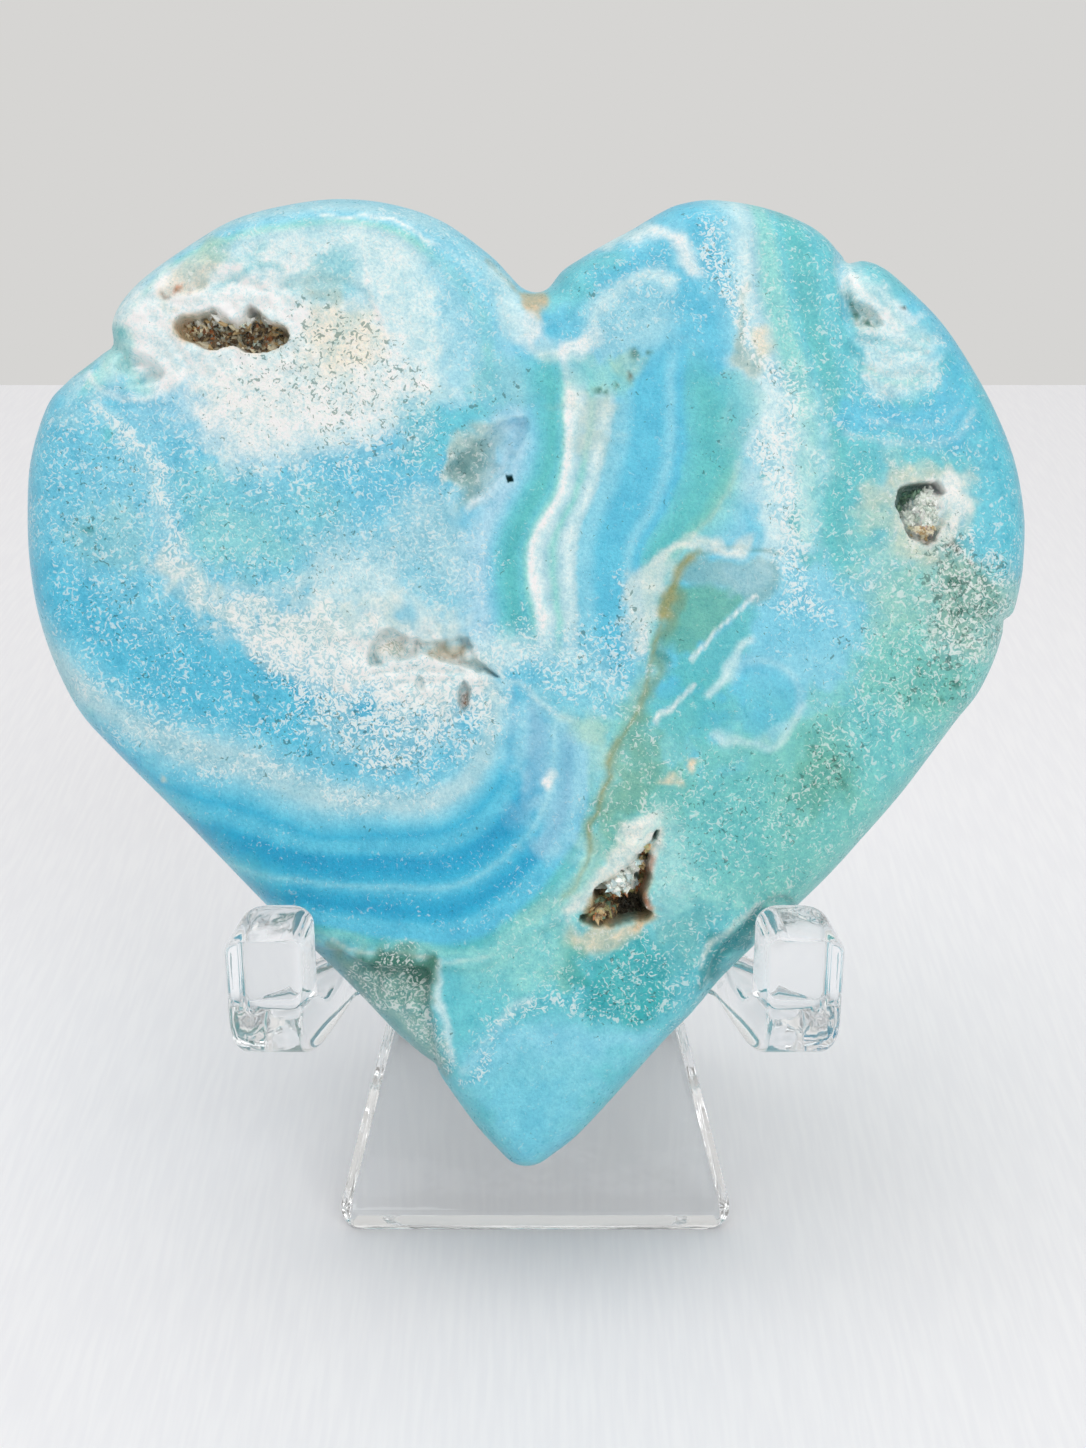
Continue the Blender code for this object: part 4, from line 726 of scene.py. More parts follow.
def line_distance(points, line, closed):
    """How far each point is from a chain of straight edges."""
    ends = np.roll(line, -1, axis=0) if closed else line[1:]
    starts = line if closed else line[:-1]
    nearest = np.full(len(points), np.inf)
    for a, b in zip(starts, ends):
        run = b - a
        along = np.clip((points - a) @ run / max(run @ run, 1e-9), 0, 1)
        gap = points - a - along[:, None] * run
        nearest = np.minimum(nearest, gap[:, 0] ** 2 + gap[:, 1] ** 2)
    return np.sqrt(nearest)


def inside_distance(points, outline):
    """Distance to a closed outline, positive inside it and negative outside."""
    within = np.zeros(len(points), bool)
    for a, b in zip(outline, np.roll(outline, -1, axis=0)):
        spans = (a[1] > points[:, 1]) != (b[1] > points[:, 1])
        rise = b[1] - a[1] if b[1] != a[1] else 1.0
        within ^= spans & (points[:, 0] < a[0] + (points[:, 1] - a[1]) * (b[0] - a[0]) / rise)
    distance = line_distance(points, outline, True)
    return np.where(within, distance, -distance)


def side_distance(points, line):
    """Distance to an open line, positive on its left as it runs and negative on its right."""
    nearest = np.full(len(points), np.inf)
    side = np.ones(len(points))
    for a, b in zip(line, line[1:]):
        run = b - a
        along = np.clip((points - a) @ run / max(run @ run, 1e-9), 0, 1)
        gap = points - a - along[:, None] * run
        far = gap[:, 0] ** 2 + gap[:, 1] ** 2
        turned = run[0] * (points[:, 1] - a[1]) - run[1] * (points[:, 0] - a[0])
        closer = far < nearest
        side = np.where(closer, np.sign(turned), side)
        nearest = np.where(closer, far, nearest)
    return side * np.sqrt(nearest)


def eased(share):
    """Rises from 0 to 1 with level ends."""
    share = np.clip(share, 0, 1)
    return share * share * (3 - 2 * share)


def value_noise(points, size, seed):
    """Smooth noise from -1 to 1 with lumps of the given size."""
    rolls = np.random.RandomState(seed).rand(NOISE_CELLS, NOISE_CELLS)
    place = points / size + 100.0
    cell = np.floor(place).astype(int)
    share = eased(place - cell)
    x0, y0 = (cell % NOISE_CELLS).T
    x1, y1 = (x0 + 1) % NOISE_CELLS, (y0 + 1) % NOISE_CELLS
    low = rolls[x0, y0] * (1 - share[:, 0]) + rolls[x1, y0] * share[:, 0]
    high = rolls[x0, y1] * (1 - share[:, 0]) + rolls[x1, y1] * share[:, 0]
    return (low * (1 - share[:, 1]) + high * share[:, 1]) * 2 - 1


def unevenness(noises, points):
    """The sum of several kinds of noise at each point."""
    return sum(noise.amount * value_noise(points, noise.size, noise.seed) for noise in noises)


def wandered(points, noises=PATCH_WANDER, times=1.0):
    """The points moved a little by noise, so that what is drawn gets natural edges."""
    moved = points.copy()
    for noise in noises:
        for axis in (0, 1):
            shift = value_noise(points, noise.size, noise.seed + axis)
            moved[:, axis] += times * noise.amount * shift
    return moved


HEART_OUTLINE = smooth_line(OUTLINE, OUTLINE_STEP, True)
HEART_OUTLINE += (HEART_OUTLINE.mean(axis=0) - HEART_OUTLINE) * OUTLINE_INSET / 50


def near_box(points, corners, margin):
    """Which points lie in the box round the corners, or within a margin of it."""
    low, high = corners.min(axis=0) - margin, corners.max(axis=0) + margin
    return np.all((points > low) & (points < high), axis=1)


def cover(layer, points):
    """How much of a stroke or patch covers each point, 0 to 1."""
    filled = isinstance(layer, Patch)
    line = smooth_line(layer.points, PAINT_STEP, filled)
    reach = layer.soft if filled else layer.half_width + layer.soft
    near = near_box(points, line, reach + 0.1)
    found = np.zeros(len(points))
    if filled:
        ragged = unevenness(RAGGED_EDGE, points[near])
        share = 0.5 + 0.5 * (inside_distance(points[near], line) / layer.soft + ragged)
    else:
        past = line_distance(points[near], line, False) - layer.half_width
        share = 0.5 - 0.5 * past / layer.soft
    found[near] = eased(share)
    return found


def banded(layer, points):
    """The colour of a set of bands at each point, and how much of it covers the point."""
    area = smooth_line(layer.area, BAND_STEP, True)
    near = near_box(points, area, layer.soft)
    inside = points[near]
    share = eased(0.5 + 0.5 * inside_distance(inside, area) / layer.soft)
    sides = [side_distance(inside, smooth_line(guide, BAND_STEP, False))
             for guide in layer.guides]
    turn = 1 if np.median(sides[-1]) > 0 else -1
    level = np.minimum(turn * -sides[0], 0) * BEFORE_FIRST_GUIDE
    for nearer, farther in zip(sides, sides[1:]):
        past, short = turn * -nearer, turn * farther
        level += np.clip(past / np.maximum(past + short, 1e-6), 0, 1) * (past > 0)
    level += unevenness(UNEVEN_BANDS, inside)
    places = [place for place, _ in layer.stops]
    colours = np.array([LIGHT[name] for _, name in layer.stops])
    found = np.zeros((len(points), 3))
    found[near] = np.column_stack([np.interp(level, places, colours[:, i]) for i in range(3)])
    shares = np.zeros(len(points))
    shares[near] = share * layer.opacity
    return found, shares


def painted(points):
    """The stone's colour at each point of its face, as light values."""
    for_patches = wandered(points)
    for_bands = wandered(points, BAND_WANDER)
    for_thin = wandered(points, THIN_WANDER)
    colour = np.tile(LIGHT["azure"], (len(points), 1))
    for layer in LAYERS:
        if isinstance(layer, Bands):
            over, share = banded(layer, for_bands)
        else:
            thin = isinstance(layer, Stroke) and layer.half_width < THIN_STROKE
            share = cover(layer, for_thin if thin else for_patches) * layer.opacity
            over = LIGHT[layer.colour]
        colour = colour * (1 - share[:, None]) + over * share[:, None]
    for dot in DOTS:
        gap = np.hypot(for_patches[:, 0] - dot.across, for_patches[:, 1] - dot.up)
        share = DOT_STRENGTH * eased(DOT_REACH - gap / dot.radius)[:, None]
        colour = colour * (1 - share) + LIGHT[dot.colour] * share
    return np.clip((colour - VEIL) / (1 - VEIL), DARKEST, 1.0)


def thickness_of(layers, points, everywhere=0.0):
    """How thick flecks or specks lie at each point, or how rough it is, 0 to 1."""
    moved = wandered(points, times=FLECK_WANDER)
    found = np.full(len(points), everywhere)
    for layer in layers:
        found = np.maximum(found, cover(layer, moved) * layer.opacity)
    return found


def full_thickness(inside):
    """Half the heart's thickness away from its rounded edge: a low dome."""
    dome = 1 - (1 - np.clip((inside - EDGE_ROUND) / DOME_RUN, 0, 1)) ** 2
    return EDGE_HALF_THICKNESS + (MIDDLE_HALF_THICKNESS - EDGE_HALF_THICKNESS) * dome


def edge_rounding(inside):
    """0 at the outline and 1 past the rounded edge, along a quarter of an ellipse."""
    short = 1 - np.clip(inside / EDGE_ROUND, 0, 1)
    return np.sqrt(1 - short ** 2)


def carved_depth(points):
    """How deep the hollows and creases are cut below the face at each point."""
    rough = wandered(points, HOLLOW_WANDER)
    depth = np.zeros(len(points))
    for hollow in list(CRYSTAL_HOLLOWS.values()) + BARE_HOLLOWS:
        outline = smooth_line(hollow.outline, HOLLOW_STEP, True)
        near = near_box(points, outline, HOLLOW_MARGIN)
        inside = inside_distance(rough[near], outline)
        down = 1 - (1 - np.clip(inside / hollow.wall, 0, 1)) ** 2
        uneven = 1 + unevenness(UNEVEN_FLOOR, points[near])
        depth[near] = np.maximum(depth[near], hollow.depth * down * uneven)
    for crease in CREASES:
        gap = line_distance(points, smooth_line(crease.line, HOLLOW_STEP, False), False)
        depth = np.maximum(depth, crease.depth * eased(1 - gap / crease.half_width))
    for across, up, radius, height in LUMPS:
        gap = np.hypot(points[:, 0] - across, points[:, 1] - up) / radius
        raised = height * np.sqrt(np.clip(1 - gap ** 2, 0, 1))
        least = LEAST_ON_LUMP * depth
        depth = np.where(raised > 0, np.maximum(depth - raised, least), depth)
    return depth


def front_height(points, inside):
    """How far the front stands out of the heart's middle plane."""
    grain = unevenness(UNEVEN_FRONT, points)
    grain += thickness_of(ROUGH, points) * unevenness(UNEVEN_ROUGH, points)
    return edge_rounding(inside) * (full_thickness(inside) - carved_depth(points) + grain
                                    - FRONT_LOWERED)


def back_height(points, inside):
    """How far the back stands out of the heart's middle plane, below zero."""
    grain = unevenness(UNEVEN_BACK, points)
    return -edge_rounding(inside) * (full_thickness(inside) + grain - BACK_LOWERED)


def staggered_grid(spacing, low, high):
    """Points in staggered rows, as in a honeycomb."""
    rows = []
    for row, up in enumerate(np.arange(low[1], high[1], spacing * math.sqrt(0.75))):
        across = np.arange(low[0] + (row % 2) * spacing / 2, high[0], spacing)
        rows.append(np.column_stack([across, np.full(len(across), up)]))
    return np.concatenate(rows)


def edge_rings():
    """Rings of points just inside the outline, where the rounded edge is steepest."""
    along = np.roll(HEART_OUTLINE, -1, axis=0) - np.roll(HEART_OUTLINE, 1, axis=0)
    inward = np.column_stack([-along[:, 1], along[:, 0]])
    inward /= np.linalg.norm(inward, axis=1)[:, None]
    rings = []
    for inset in RING_INSETS:
        ring = HEART_OUTLINE + inward * inset
        rings.append(ring[inside_distance(ring, HEART_OUTLINE) > inset * 0.97])
    return np.concatenate(rings)


def triangulated(boundary, inner):
    """Points and triangles that fill a closed boundary. The boundary's points come first."""
    count = len(boundary)
    points = [Vector(p) for p in np.vstack([boundary, inner])]
    edges = [(i, (i + 1) % count) for i in range(count)]
    made, _, faces, sources, _, _ = delaunay_2d_cdt(points, edges, [], 1, 1e-6)
    order = sorted(range(len(made)), key=lambda i: min(sources[i], default=len(points)))
    place = {old: new for new, old in enumerate(order)}
    flat = np.array([made[i][:] for i in order])
    return flat, [[place[i] for i in face] for face in faces]


def on_row(across, up, out):
    """Points of the heart's face frame as X, Y and Z in the object's frame, in metres."""
    y = ORIGIN_Y + TIP_BEHIND_FOOT + up * math.sin(LEAN) - out * math.cos(LEAN)
    z = TIP_HEIGHT + up * math.cos(LEAN) + out * math.sin(LEAN)
    return np.column_stack([ORIGIN_X + across, y, z]) * MM


def add_piece(name, mesh, finish, slot, *nodes):
    mesh.materials.append(finish)
    piece = bpy.data.objects.new(name, mesh)
    bpy.context.scene.collection.objects.link(piece)
    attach(piece, "root")
    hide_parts(*nodes)
    return piece


def set_colours(mesh, name, colours):
    """Gives a mesh a colour for each point."""
    layer = mesh.color_attributes.new(name, "FLOAT_COLOR", "POINT")
    layer.data.foreach_set("color", np.column_stack([colours, np.ones(len(colours))]).ravel())


def set_values(mesh, name, values):
    """Gives a mesh a number for each point."""
    layer = mesh.attributes.new(name, "FLOAT", "POINT")
    layer.data.foreach_set("value", np.asarray(values, float))


def make_heart(finish):
    """The stone, fine enough to carry its bands, hollows and ledges."""
    rim = len(HEART_OUTLINE)
    low, high = HEART_OUTLINE.min(axis=0), HEART_OUTLINE.max(axis=0)
    rings = edge_rings()
    boxes = [np.array(hollow.outline) for hollow in list(CRYSTAL_HOLLOWS.values())
             + BARE_HOLLOWS[:6]]
    dense = np.concatenate([staggered_grid(HOLLOW_SPACING, box.min(axis=0) - HOLLOW_MARGIN,
                                           box.max(axis=0) + HOLLOW_MARGIN) for box in boxes])
    front = staggered_grid(FRONT_SPACING, low, high)
    for box in boxes:
        front = front[~near_box(front, box, HOLLOW_MARGIN)]
    front = front[inside_distance(front, HEART_OUTLINE) > FRONT_MARGIN]
    back = staggered_grid(BACK_SPACING, low, high)
    back = back[inside_distance(back, HEART_OUTLINE) > BACK_MARGIN]

    front, front_faces = triangulated(HEART_OUTLINE, np.concatenate([rings, dense, front]))
    back, back_faces = triangulated(HEART_OUTLINE, np.concatenate([rings, back]))
    front_inside = np.maximum(inside_distance(front, HEART_OUTLINE), 0)
    back_inside = np.maximum(inside_distance(back, HEART_OUTLINE), 0)
    front_out = front_height(front, front_inside)
    back_out = back_height(back, back_inside)
    front_out[:rim] = 0.0
    back_out[:rim] = 0.0

    shift = len(front) - rim
    faces = list(front_faces)
    faces += [[i if i < rim else i + shift for i in reversed(face)] for face in back_faces]
    flat = np.vstack([front, back[rim:]])
    out = np.concatenate([front_out, back_out[rim:]])
    mesh = bpy.data.meshes.new("heart")
    mesh.from_pydata(on_row(flat[:, 0], flat[:, 1], out).tolist(), [], faces)

    # The back's bands wander away from the front's, the more the farther from the edge.
    away = (1 - np.exp(-back_inside[rim:] / DRIFT_RUN))[:, None]
    drift = np.column_stack([value_noise(back[rim:], DRIFT_SIZE, seed) for seed in DRIFT_SEEDS])
    read_at = np.vstack([front, back[rim:] + away * DRIFT * drift])
    colour = painted(read_at)
    inside = np.concatenate([front_inside, back_inside[rim:]])
    count = len(front)
    for layer in HOLLOW_LAYERS:
        share = (cover(layer, front) * layer.opacity)[:, None]
        colour[:count] = colour[:count] * (1 - share) + LIGHT[layer.colour] * share
    # Painted shade: the colour darkens towards the rounded edge, front and back, where the surface
    # turns away from the light
    edge = (1 - eased(inside / PAINTED_EDGE_SHADE_WIDTH))[:, None]
    colour *= 1 - edge * (1 - PAINTED_EDGE_SHADE)
    set_colours(mesh, "paint", colour)
    set_values(mesh, "flecks", thickness_of(FLECKS, read_at, FLECKS_EVERYWHERE))
    set_values(mesh, "specks", thickness_of(SPECKS, read_at, SPECKS_EVERYWHERE))
    mesh.shade_smooth()
    return add_piece("calcite_heart", mesh, finish, "banded_calcite", "heart")


# The crystals in the hollows. Lengths in millimetres, and radii as a share of the length.
CRYSTAL_TILT = 0.6
CRYSTAL_RADIUS = (0.22, 0.4)
CRYSTAL_RAISED = 0.1
CRYSTAL_FOOT = 0.35
CRYSTAL_UNEVEN = 0.12
Druse = namedtuple("Druse", "node slot outline count lengths shades colours")
DRUSES = [
    Druse("crystal_crust_upper_left", "brown_crystals",
          [(-33.9, 84.5), (-31.5, 85.3), (-30.3, 85.0), (-28.4, 84.0), (-26.6, 85.6),
           (-25.0, 84.5), (-23.6, 83.2), (-24.9, 82.1), (-26.9, 81.7), (-28.7, 82.5),
           (-31.0, 82.1), (-33.6, 83.4)], 680, (0.35, 1.1), (0.5, 1.4),
          ["umber", "tan", "cream", "rust", "tan", "pearl", "umber", "black", "cream", "stone"]),
    Druse("crystal_crust_lower", "brown_crystals",
          [(9.8, 30.6), (7.5, 28.9), (6.9, 27.5), (6.0, 26.2), (7.0, 25.6), (8.8, 25.7),
           (11.4, 26.1), (11.2, 28.0), (11.8, 30.0), (11.9, 32.0), (12.2, 33.6), (11.0, 31.9)],
          460, (0.3, 0.95), (0.7, 1.3),
          ["umber", "tan", "rust", "tan", "moss", "umber", "olive"]),
    Druse("crystal_crust_right", "pale_crystals",
          [(36.7, 66.9), (37.5, 68.1), (40.0, 68.4), (40.1, 66.2), (40.3, 64.7), (39.2, 63.3),
           (37.9, 63.7), (37.0, 65.8)], 260, (0.3, 0.8), (0.95, 1.15),
          ["white", "pearl", "pearl", "stone", "white", "pearl"]),
]


def crystal_points(base, axis, length, radius, turn):
    """A six-sided crystal that tapers to a point at each end, as points and faces."""
    axis = axis / np.linalg.norm(axis)
    side = np.cross(axis, [0.3, 0.5, 0.8])
    side /= np.linalg.norm(side)
    other = np.cross(axis, side)
    angles = turn + np.arange(6) * math.pi / 3
    spread = radius * (1 + CRYSTAL_UNEVEN * (np.arange(6) % 2))
    ring = (np.outer(np.cos(angles) * spread, side) + np.outer(np.sin(angles) * spread, other))
    foot = base - axis * length * CRYSTAL_FOOT
    points = np.vstack([foot, base + axis * length, base + ring])
    faces = []
    for i in range(6):
        j = (i + 1) % 6
        faces += [(0, 2 + j, 2 + i), (1, 2 + i, 2 + j)]
    return points, faces


def druse_colour(druse, across, up, rolls):
    """A crystal's colour, by where it stands in its hollow."""
    name = rolls.choice(druse.colours)
    if druse.node.endswith("upper_left"):
        if across < -33.2 or across > -24.0 and up > 83:
            name = rolls.choice(["rust", "tan", "cream"])
        elif up > 84.6:
            name = rolls.choice(["pearl", "white", "tan"])
    elif druse.node.endswith("lower"):
        if across > 11.2 and up > 27:
            name = rolls.choice(["rust", "tan", "olive"])
        # Painted shade: crystals in the lower hollow's deep pocket are made black
        elif across > 9.2 and up < 28.0:
            name = "black"
        elif up > 28.6:
            name = rolls.choice(["pearl", "white", "ice"])
    elif up < 64.6:
        name = rolls.choice(["tan", "cream", "cream"])
    elif up - across > 29.2:
        name = rolls.choice(["pine", "moss", "moss"])
    return LIGHT[name] * rolls.uniform(*druse.shades)


def scattered(outline, count, rolls):
    """Places drawn evenly over the inside of an outline."""
    low, high = outline.min(axis=0), outline.max(axis=0)
    kept = np.empty((0, 2))
    while len(kept) < count:
        drawn = np.array([(rolls.uniform(low[0], high[0]), rolls.uniform(low[1], high[1]))
                          for _ in range(count)])
        kept = np.vstack([kept, drawn[inside_distance(drawn, outline) > 0]])
    return kept[:count]


def make_druse(druse, finish, seed):
    """The crystals that line one hollow."""
    rolls = random.Random(seed)
    places = scattered(np.array(druse.outline), druse.count, rolls)
    surfaces = front_height(places, inside_distance(places, HEART_OUTLINE))
    points, faces, colours = [], [], []
    for (across, up), surface in zip(places, surfaces):
        length = rolls.uniform(*druse.lengths)
        tilt = np.array([rolls.gauss(0, CRYSTAL_TILT), rolls.gauss(0, CRYSTAL_TILT), 1.0])
        base = np.array([across, up, surface + CRYSTAL_RAISED * length])
        radius = length * rolls.uniform(*CRYSTAL_RADIUS)
        new, new_faces = crystal_points(base, tilt, length, radius, rolls.uniform(0, 1))
        start = len(points) * len(new)
        points.append(new)
        faces += [tuple(start + i for i in face) for face in new_faces]
        colours.append(np.tile(druse_colour(druse, across, up, rolls), (len(new), 1)))
    local = np.concatenate(points)
    mesh = bpy.data.meshes.new("crystals")
    mesh.from_pydata(on_row(local[:, 0], local[:, 1], local[:, 2]).tolist(), [], faces)
    set_colours(mesh, "paint", np.concatenate(colours))
    return add_piece(druse.node.replace("crust", "druse"), mesh, finish, druse.slot, druse.node)


# The easel
STRIP_THICKNESS = 3.0
RIM_WIDTH = 1.7
RIM_HALF_EDGE = 0.25
RIM_ROUND = 0.12
RIDGE_HEIGHT = 51.1
RIDGE_RADIUS = 2.5
REAR_LEAN = math.radians(16.5)
FRONT_HALF_WIDTH = 21.5
FRONT_TAPER = 0.27
REAR_HALF_WIDTH = 16.2
REAR_TAPER = 0.165
FOOT_CORNER_RADIUS = 3.0
FOOT_STATIONS = (-1.2, -0.2, 0.0, 0.1, 0.25, 0.5, 0.8, 1.1, 1.5, RIM_WIDTH, 2.4, 3.0, 3.6)
LEG_STATIONS = (10.0, 18.0, 26.0, 34.0, 40.0, 45.0, 48.0)
RIDGE_STEPS = 21
HOOK_ACROSS = 26.5
HOOK_WIDTH = 7.3
HOOK_PRONG = 5.4
HOOK_BOTTOM = 25.0
HOOK_SEAT = 29.9
HOOK_TOP_BACK = 41.3
HOOK_TOP_FRONT = 40.2
HOOK_OUTER_RADIUS = 6.5
HOOK_INNER_RADIUS = 3.0
HOOK_TOP_ROUND = 1.6
HOOK_TOP_STATIONS = (4.5, 3.2, 2.7, 2.2, 1.8, 1.4, 1.0, 0.7, 0.45, 0.25, 0.1, 0.0)
HOOK_HEEL_STEPS = 18
HOOK_EDGE_RADIUS = 0.9
HOOK_ROOT_DEPTH = 0.6
HOOK_STEP = 0.7
HOOK_CORNER_POINTS = 6
# How far behind a hook's front, and how far its outer and inner sides have swung inwards there
HOOK_SWING = [
    (0.0, 0.0, 0.0), (5.4, 1.5, 1.4), (8.0, 2.4, 2.2), (10.2, 3.3, 2.8), (13.0, 5.2, 3.5),
    (15.0, 7.0, 3.9), (16.1, 8.1, 4.4), (17.1, 9.2, 6.1), (18.2, 10.6, 9.3), (20.0, 12.8, 12.4),
    (22.0, 15.6, 15.0),
]
SWING_SMOOTHING = (-0.8, -0.4, 0.0, 0.4, 0.8)
RIM_SEGMENTS = 2
RIM_ANGLE = math.radians(25)
SHARP_ANGLE = math.radians(40)


def rounded_section(half_width, half_thickness, radius, per_corner):
    """A rectangle with rounded corners, as (across, through) pairs."""
    radius = min(radius, half_thickness - 0.05)
    points = []
    for corner, (sign_x, sign_t) in enumerate(((1, 1), (-1, 1), (-1, -1), (1, -1))):
        for angle in np.radians(90 * corner + np.linspace(0, 90, per_corner)):
            points.append((sign_x * (half_width - radius) + radius * math.cos(angle),
                           sign_t * (half_thickness - radius) + radius * math.sin(angle)))
    return points


def bevelled_section(half_width, half_thickness, *_):
    """A flat strip with a wide bevel along each side, as (across, through) pairs."""
    inset = RIM_WIDTH * (half_thickness - RIM_HALF_EDGE) / (STRIP_THICKNESS / 2 - RIM_HALF_EDGE)
    points = []
    for sign_x, sign_t, order in ((1, 1, 1), (-1, 1, -1), (-1, -1, 1), (1, -1, -1)):
        edge = (sign_x * half_width, sign_t * RIM_HALF_EDGE)
        face = (sign_x * (half_width - inset), sign_t * half_thickness)
        points += (edge, face)[::order]
    return points


def loft(stations, radius, per_corner, section_of=rounded_section):
    """A closed bar through stations of (outer point, inner point, half width), all as (Y, Z)."""
    shape = bmesh.new()
    rings = []
    for outer, inner, half_width in stations:
        middle = (Vector(outer) + Vector(inner)) / 2
        half = (Vector(outer) - Vector(inner)) / 2
        section = section_of(half_width, half.length, radius, per_corner)
        places = [(across, middle + half.normalized() * through) for across, through in section]
        rings.append([shape.verts.new((across, place.x, place.y)) for across, place in places])
    for near, far in zip(rings, rings[1:]):
        for i in range(len(near)):
            j = (i + 1) % len(near)
            shape.faces.new((near[i], near[j], far[j], far[i]))
    shape.faces.new(rings[0])
    shape.faces.new(rings[-1])
    bmesh.ops.recalc_face_normals(shape, faces=shape.faces)
    return shape


def finished_mesh(shape, name, across):
    """The shape as a mesh in the object's frame, in metres."""
    bmesh.ops.recalc_face_normals(shape, faces=shape.faces)
    bmesh.ops.translate(shape, vec=(ORIGIN_X + across, ORIGIN_Y, 0), verts=shape.verts)
    bmesh.ops.scale(shape, vec=(MM, MM, MM), verts=shape.verts)
    mesh = bpy.data.meshes.new(name)
    shape.to_mesh(mesh)
    shape.free()
    return mesh


def corner_cut(from_end, radius):
    """How much narrower a bar with round corners is this far from its end."""
    short = radius - min(max(from_end, 0.0), radius)
    return radius - math.sqrt(radius ** 2 - short ** 2)


def leg_half_width(height, foot_half_width, taper):
    return foot_half_width - taper * height - corner_cut(height, FOOT_CORNER_RADIUS)


def strip_station(middle, heading, half_width, height=RIM_WIDTH):
    """The strip's outer and inner faces at one place. Its heading turns from straight up."""
    outward = Vector((-math.cos(heading), math.sin(heading)))
    bevel = STRIP_THICKNESS / 2 - RIM_HALF_EDGE
    half = outward * (RIM_HALF_EDGE + bevel * min(max(height, 0.02) / RIM_WIDTH, 1.0))
    return middle + half, middle - half, half_width


def make_legs():
    """The bent strip from the front foot over the ridge to the rear foot, with flat feet."""
    half = STRIP_THICKNESS / 2
    foot = Vector((half * math.cos(LEAN), -half * math.sin(LEAN)))
    rise = Vector((math.sin(LEAN), math.cos(LEAN)))
    ridge_start = foot + rise * ((RIDGE_HEIGHT - foot.y) / rise.y)
    centre = ridge_start + RIDGE_RADIUS * Vector((math.cos(LEAN), -math.sin(LEAN)))
    ridge_half_width = leg_half_width(RIDGE_HEIGHT, FRONT_HALF_WIDTH, FRONT_TAPER)
    stations = []
    for height in FOOT_STATIONS + LEG_STATIONS:
        middle = foot + rise * ((height - foot.y) / rise.y)
        width = leg_half_width(height, FRONT_HALF_WIDTH, FRONT_TAPER)
        stations.append(strip_station(middle, LEAN, width, height))
    last_heading = math.pi - REAR_LEAN
    for heading in np.linspace(LEAN, last_heading, RIDGE_STEPS):
        middle = centre + RIDGE_RADIUS * Vector((-math.cos(heading), math.sin(heading)))
        stations.append(strip_station(middle, heading, ridge_half_width))
    ridge_end = centre + RIDGE_RADIUS * Vector((-math.cos(last_heading), math.sin(last_heading)))
    fall = Vector((math.sin(last_heading), math.cos(last_heading)))
    for height in reversed(FOOT_STATIONS + LEG_STATIONS):
        middle = ridge_end + fall * ((height - ridge_end.y) / fall.y)
        width = leg_half_width(height, REAR_HALF_WIDTH, REAR_TAPER)
        stations.append(strip_station(middle, last_heading, width, height))
    shape = loft(stations, 0, 0, bevelled_section)
    everything = shape.verts[:] + shape.edges[:] + shape.faces[:]
    cut = bmesh.ops.bisect_plane(shape, geom=everything, plane_co=(0, 0, 0), plane_no=(0, 0, 1),
                                 clear_inner=True)
    cut_edges = [part for part in cut["geom_cut"] if isinstance(part, bmesh.types.BMEdge)]
    bmesh.ops.holes_fill(shape, edges=cut_edges)
    return finished_mesh(shape, "easel", EASEL_ACROSS)


def root_end(height):
    """Where a hook ends inside the front leg, just short of its back."""
    return height * math.tan(LEAN) + STRIP_THICKNESS / math.cos(LEAN) - HOOK_ROOT_DEPTH


def on_circle(centre, radius, angle):
    return centre[0] + radius * math.cos(angle), centre[1] + radius * math.sin(angle)


def hook_stations():
    """A hook from its root along the seat, round the heel and up the prong."""
    half_width = HOOK_WIDTH / 2
    prong_back = HOOK_FRONT + HOOK_PRONG
    seat_start = prong_back + HOOK_INNER_RADIUS
    heel = (HOOK_FRONT + HOOK_OUTER_RADIUS, HOOK_BOTTOM + HOOK_OUTER_RADIUS)
    crook = (seat_start, HOOK_SEAT + HOOK_INNER_RADIUS)
    root = ((root_end(HOOK_BOTTOM), HOOK_BOTTOM), (root_end(HOOK_SEAT), HOOK_SEAT), half_width)
    stations = [root]
    for y in np.arange(root_end(HOOK_BOTTOM) - HOOK_STEP, seat_start + 0.6, -HOOK_STEP):
        stations.append(((y, HOOK_BOTTOM), (y, HOOK_SEAT), half_width))
    for angle in np.radians(np.linspace(270, 180, HOOK_HEEL_STEPS)):
        stations.append((on_circle(heel, HOOK_OUTER_RADIUS, angle),
                         on_circle(crook, HOOK_INNER_RADIUS, angle), half_width))
    for below_top in HOOK_TOP_STATIONS:
        narrower = corner_cut(below_top, HOOK_TOP_ROUND)
        stations.append(((HOOK_FRONT, HOOK_TOP_FRONT - below_top),
                         (prong_back, HOOK_TOP_BACK - below_top), half_width - narrower))
    return stations


def hook_swing(behind, share_inner):
    """How far a hook has swung inwards, from its outer side (0) to its inner side (1)."""
    distances, outer, inner = zip(*HOOK_SWING)
    total = 0.0
    for shift in SWING_SMOOTHING:
        at_outer = np.interp(behind + shift, distances, outer)
        at_inner = np.interp(behind + shift, distances, inner)
        total += at_outer + (at_inner - at_outer) * share_inner
    return total / len(SWING_SMOOTHING)


def make_hook(side):
    """One hook. side is -1 for the left one and +1 for the right one."""
    shape = loft(hook_stations(), HOOK_EDGE_RADIUS, HOOK_CORNER_POINTS)
    for vert in shape.verts:
        share_inner = 0.5 - side * vert.co.x / HOOK_WIDTH
        vert.co.x += side * (HOOK_ACROSS - hook_swing(vert.co.y - HOOK_FRONT, share_inner))
    return finished_mesh(shape, "hook", EASEL_ACROSS)


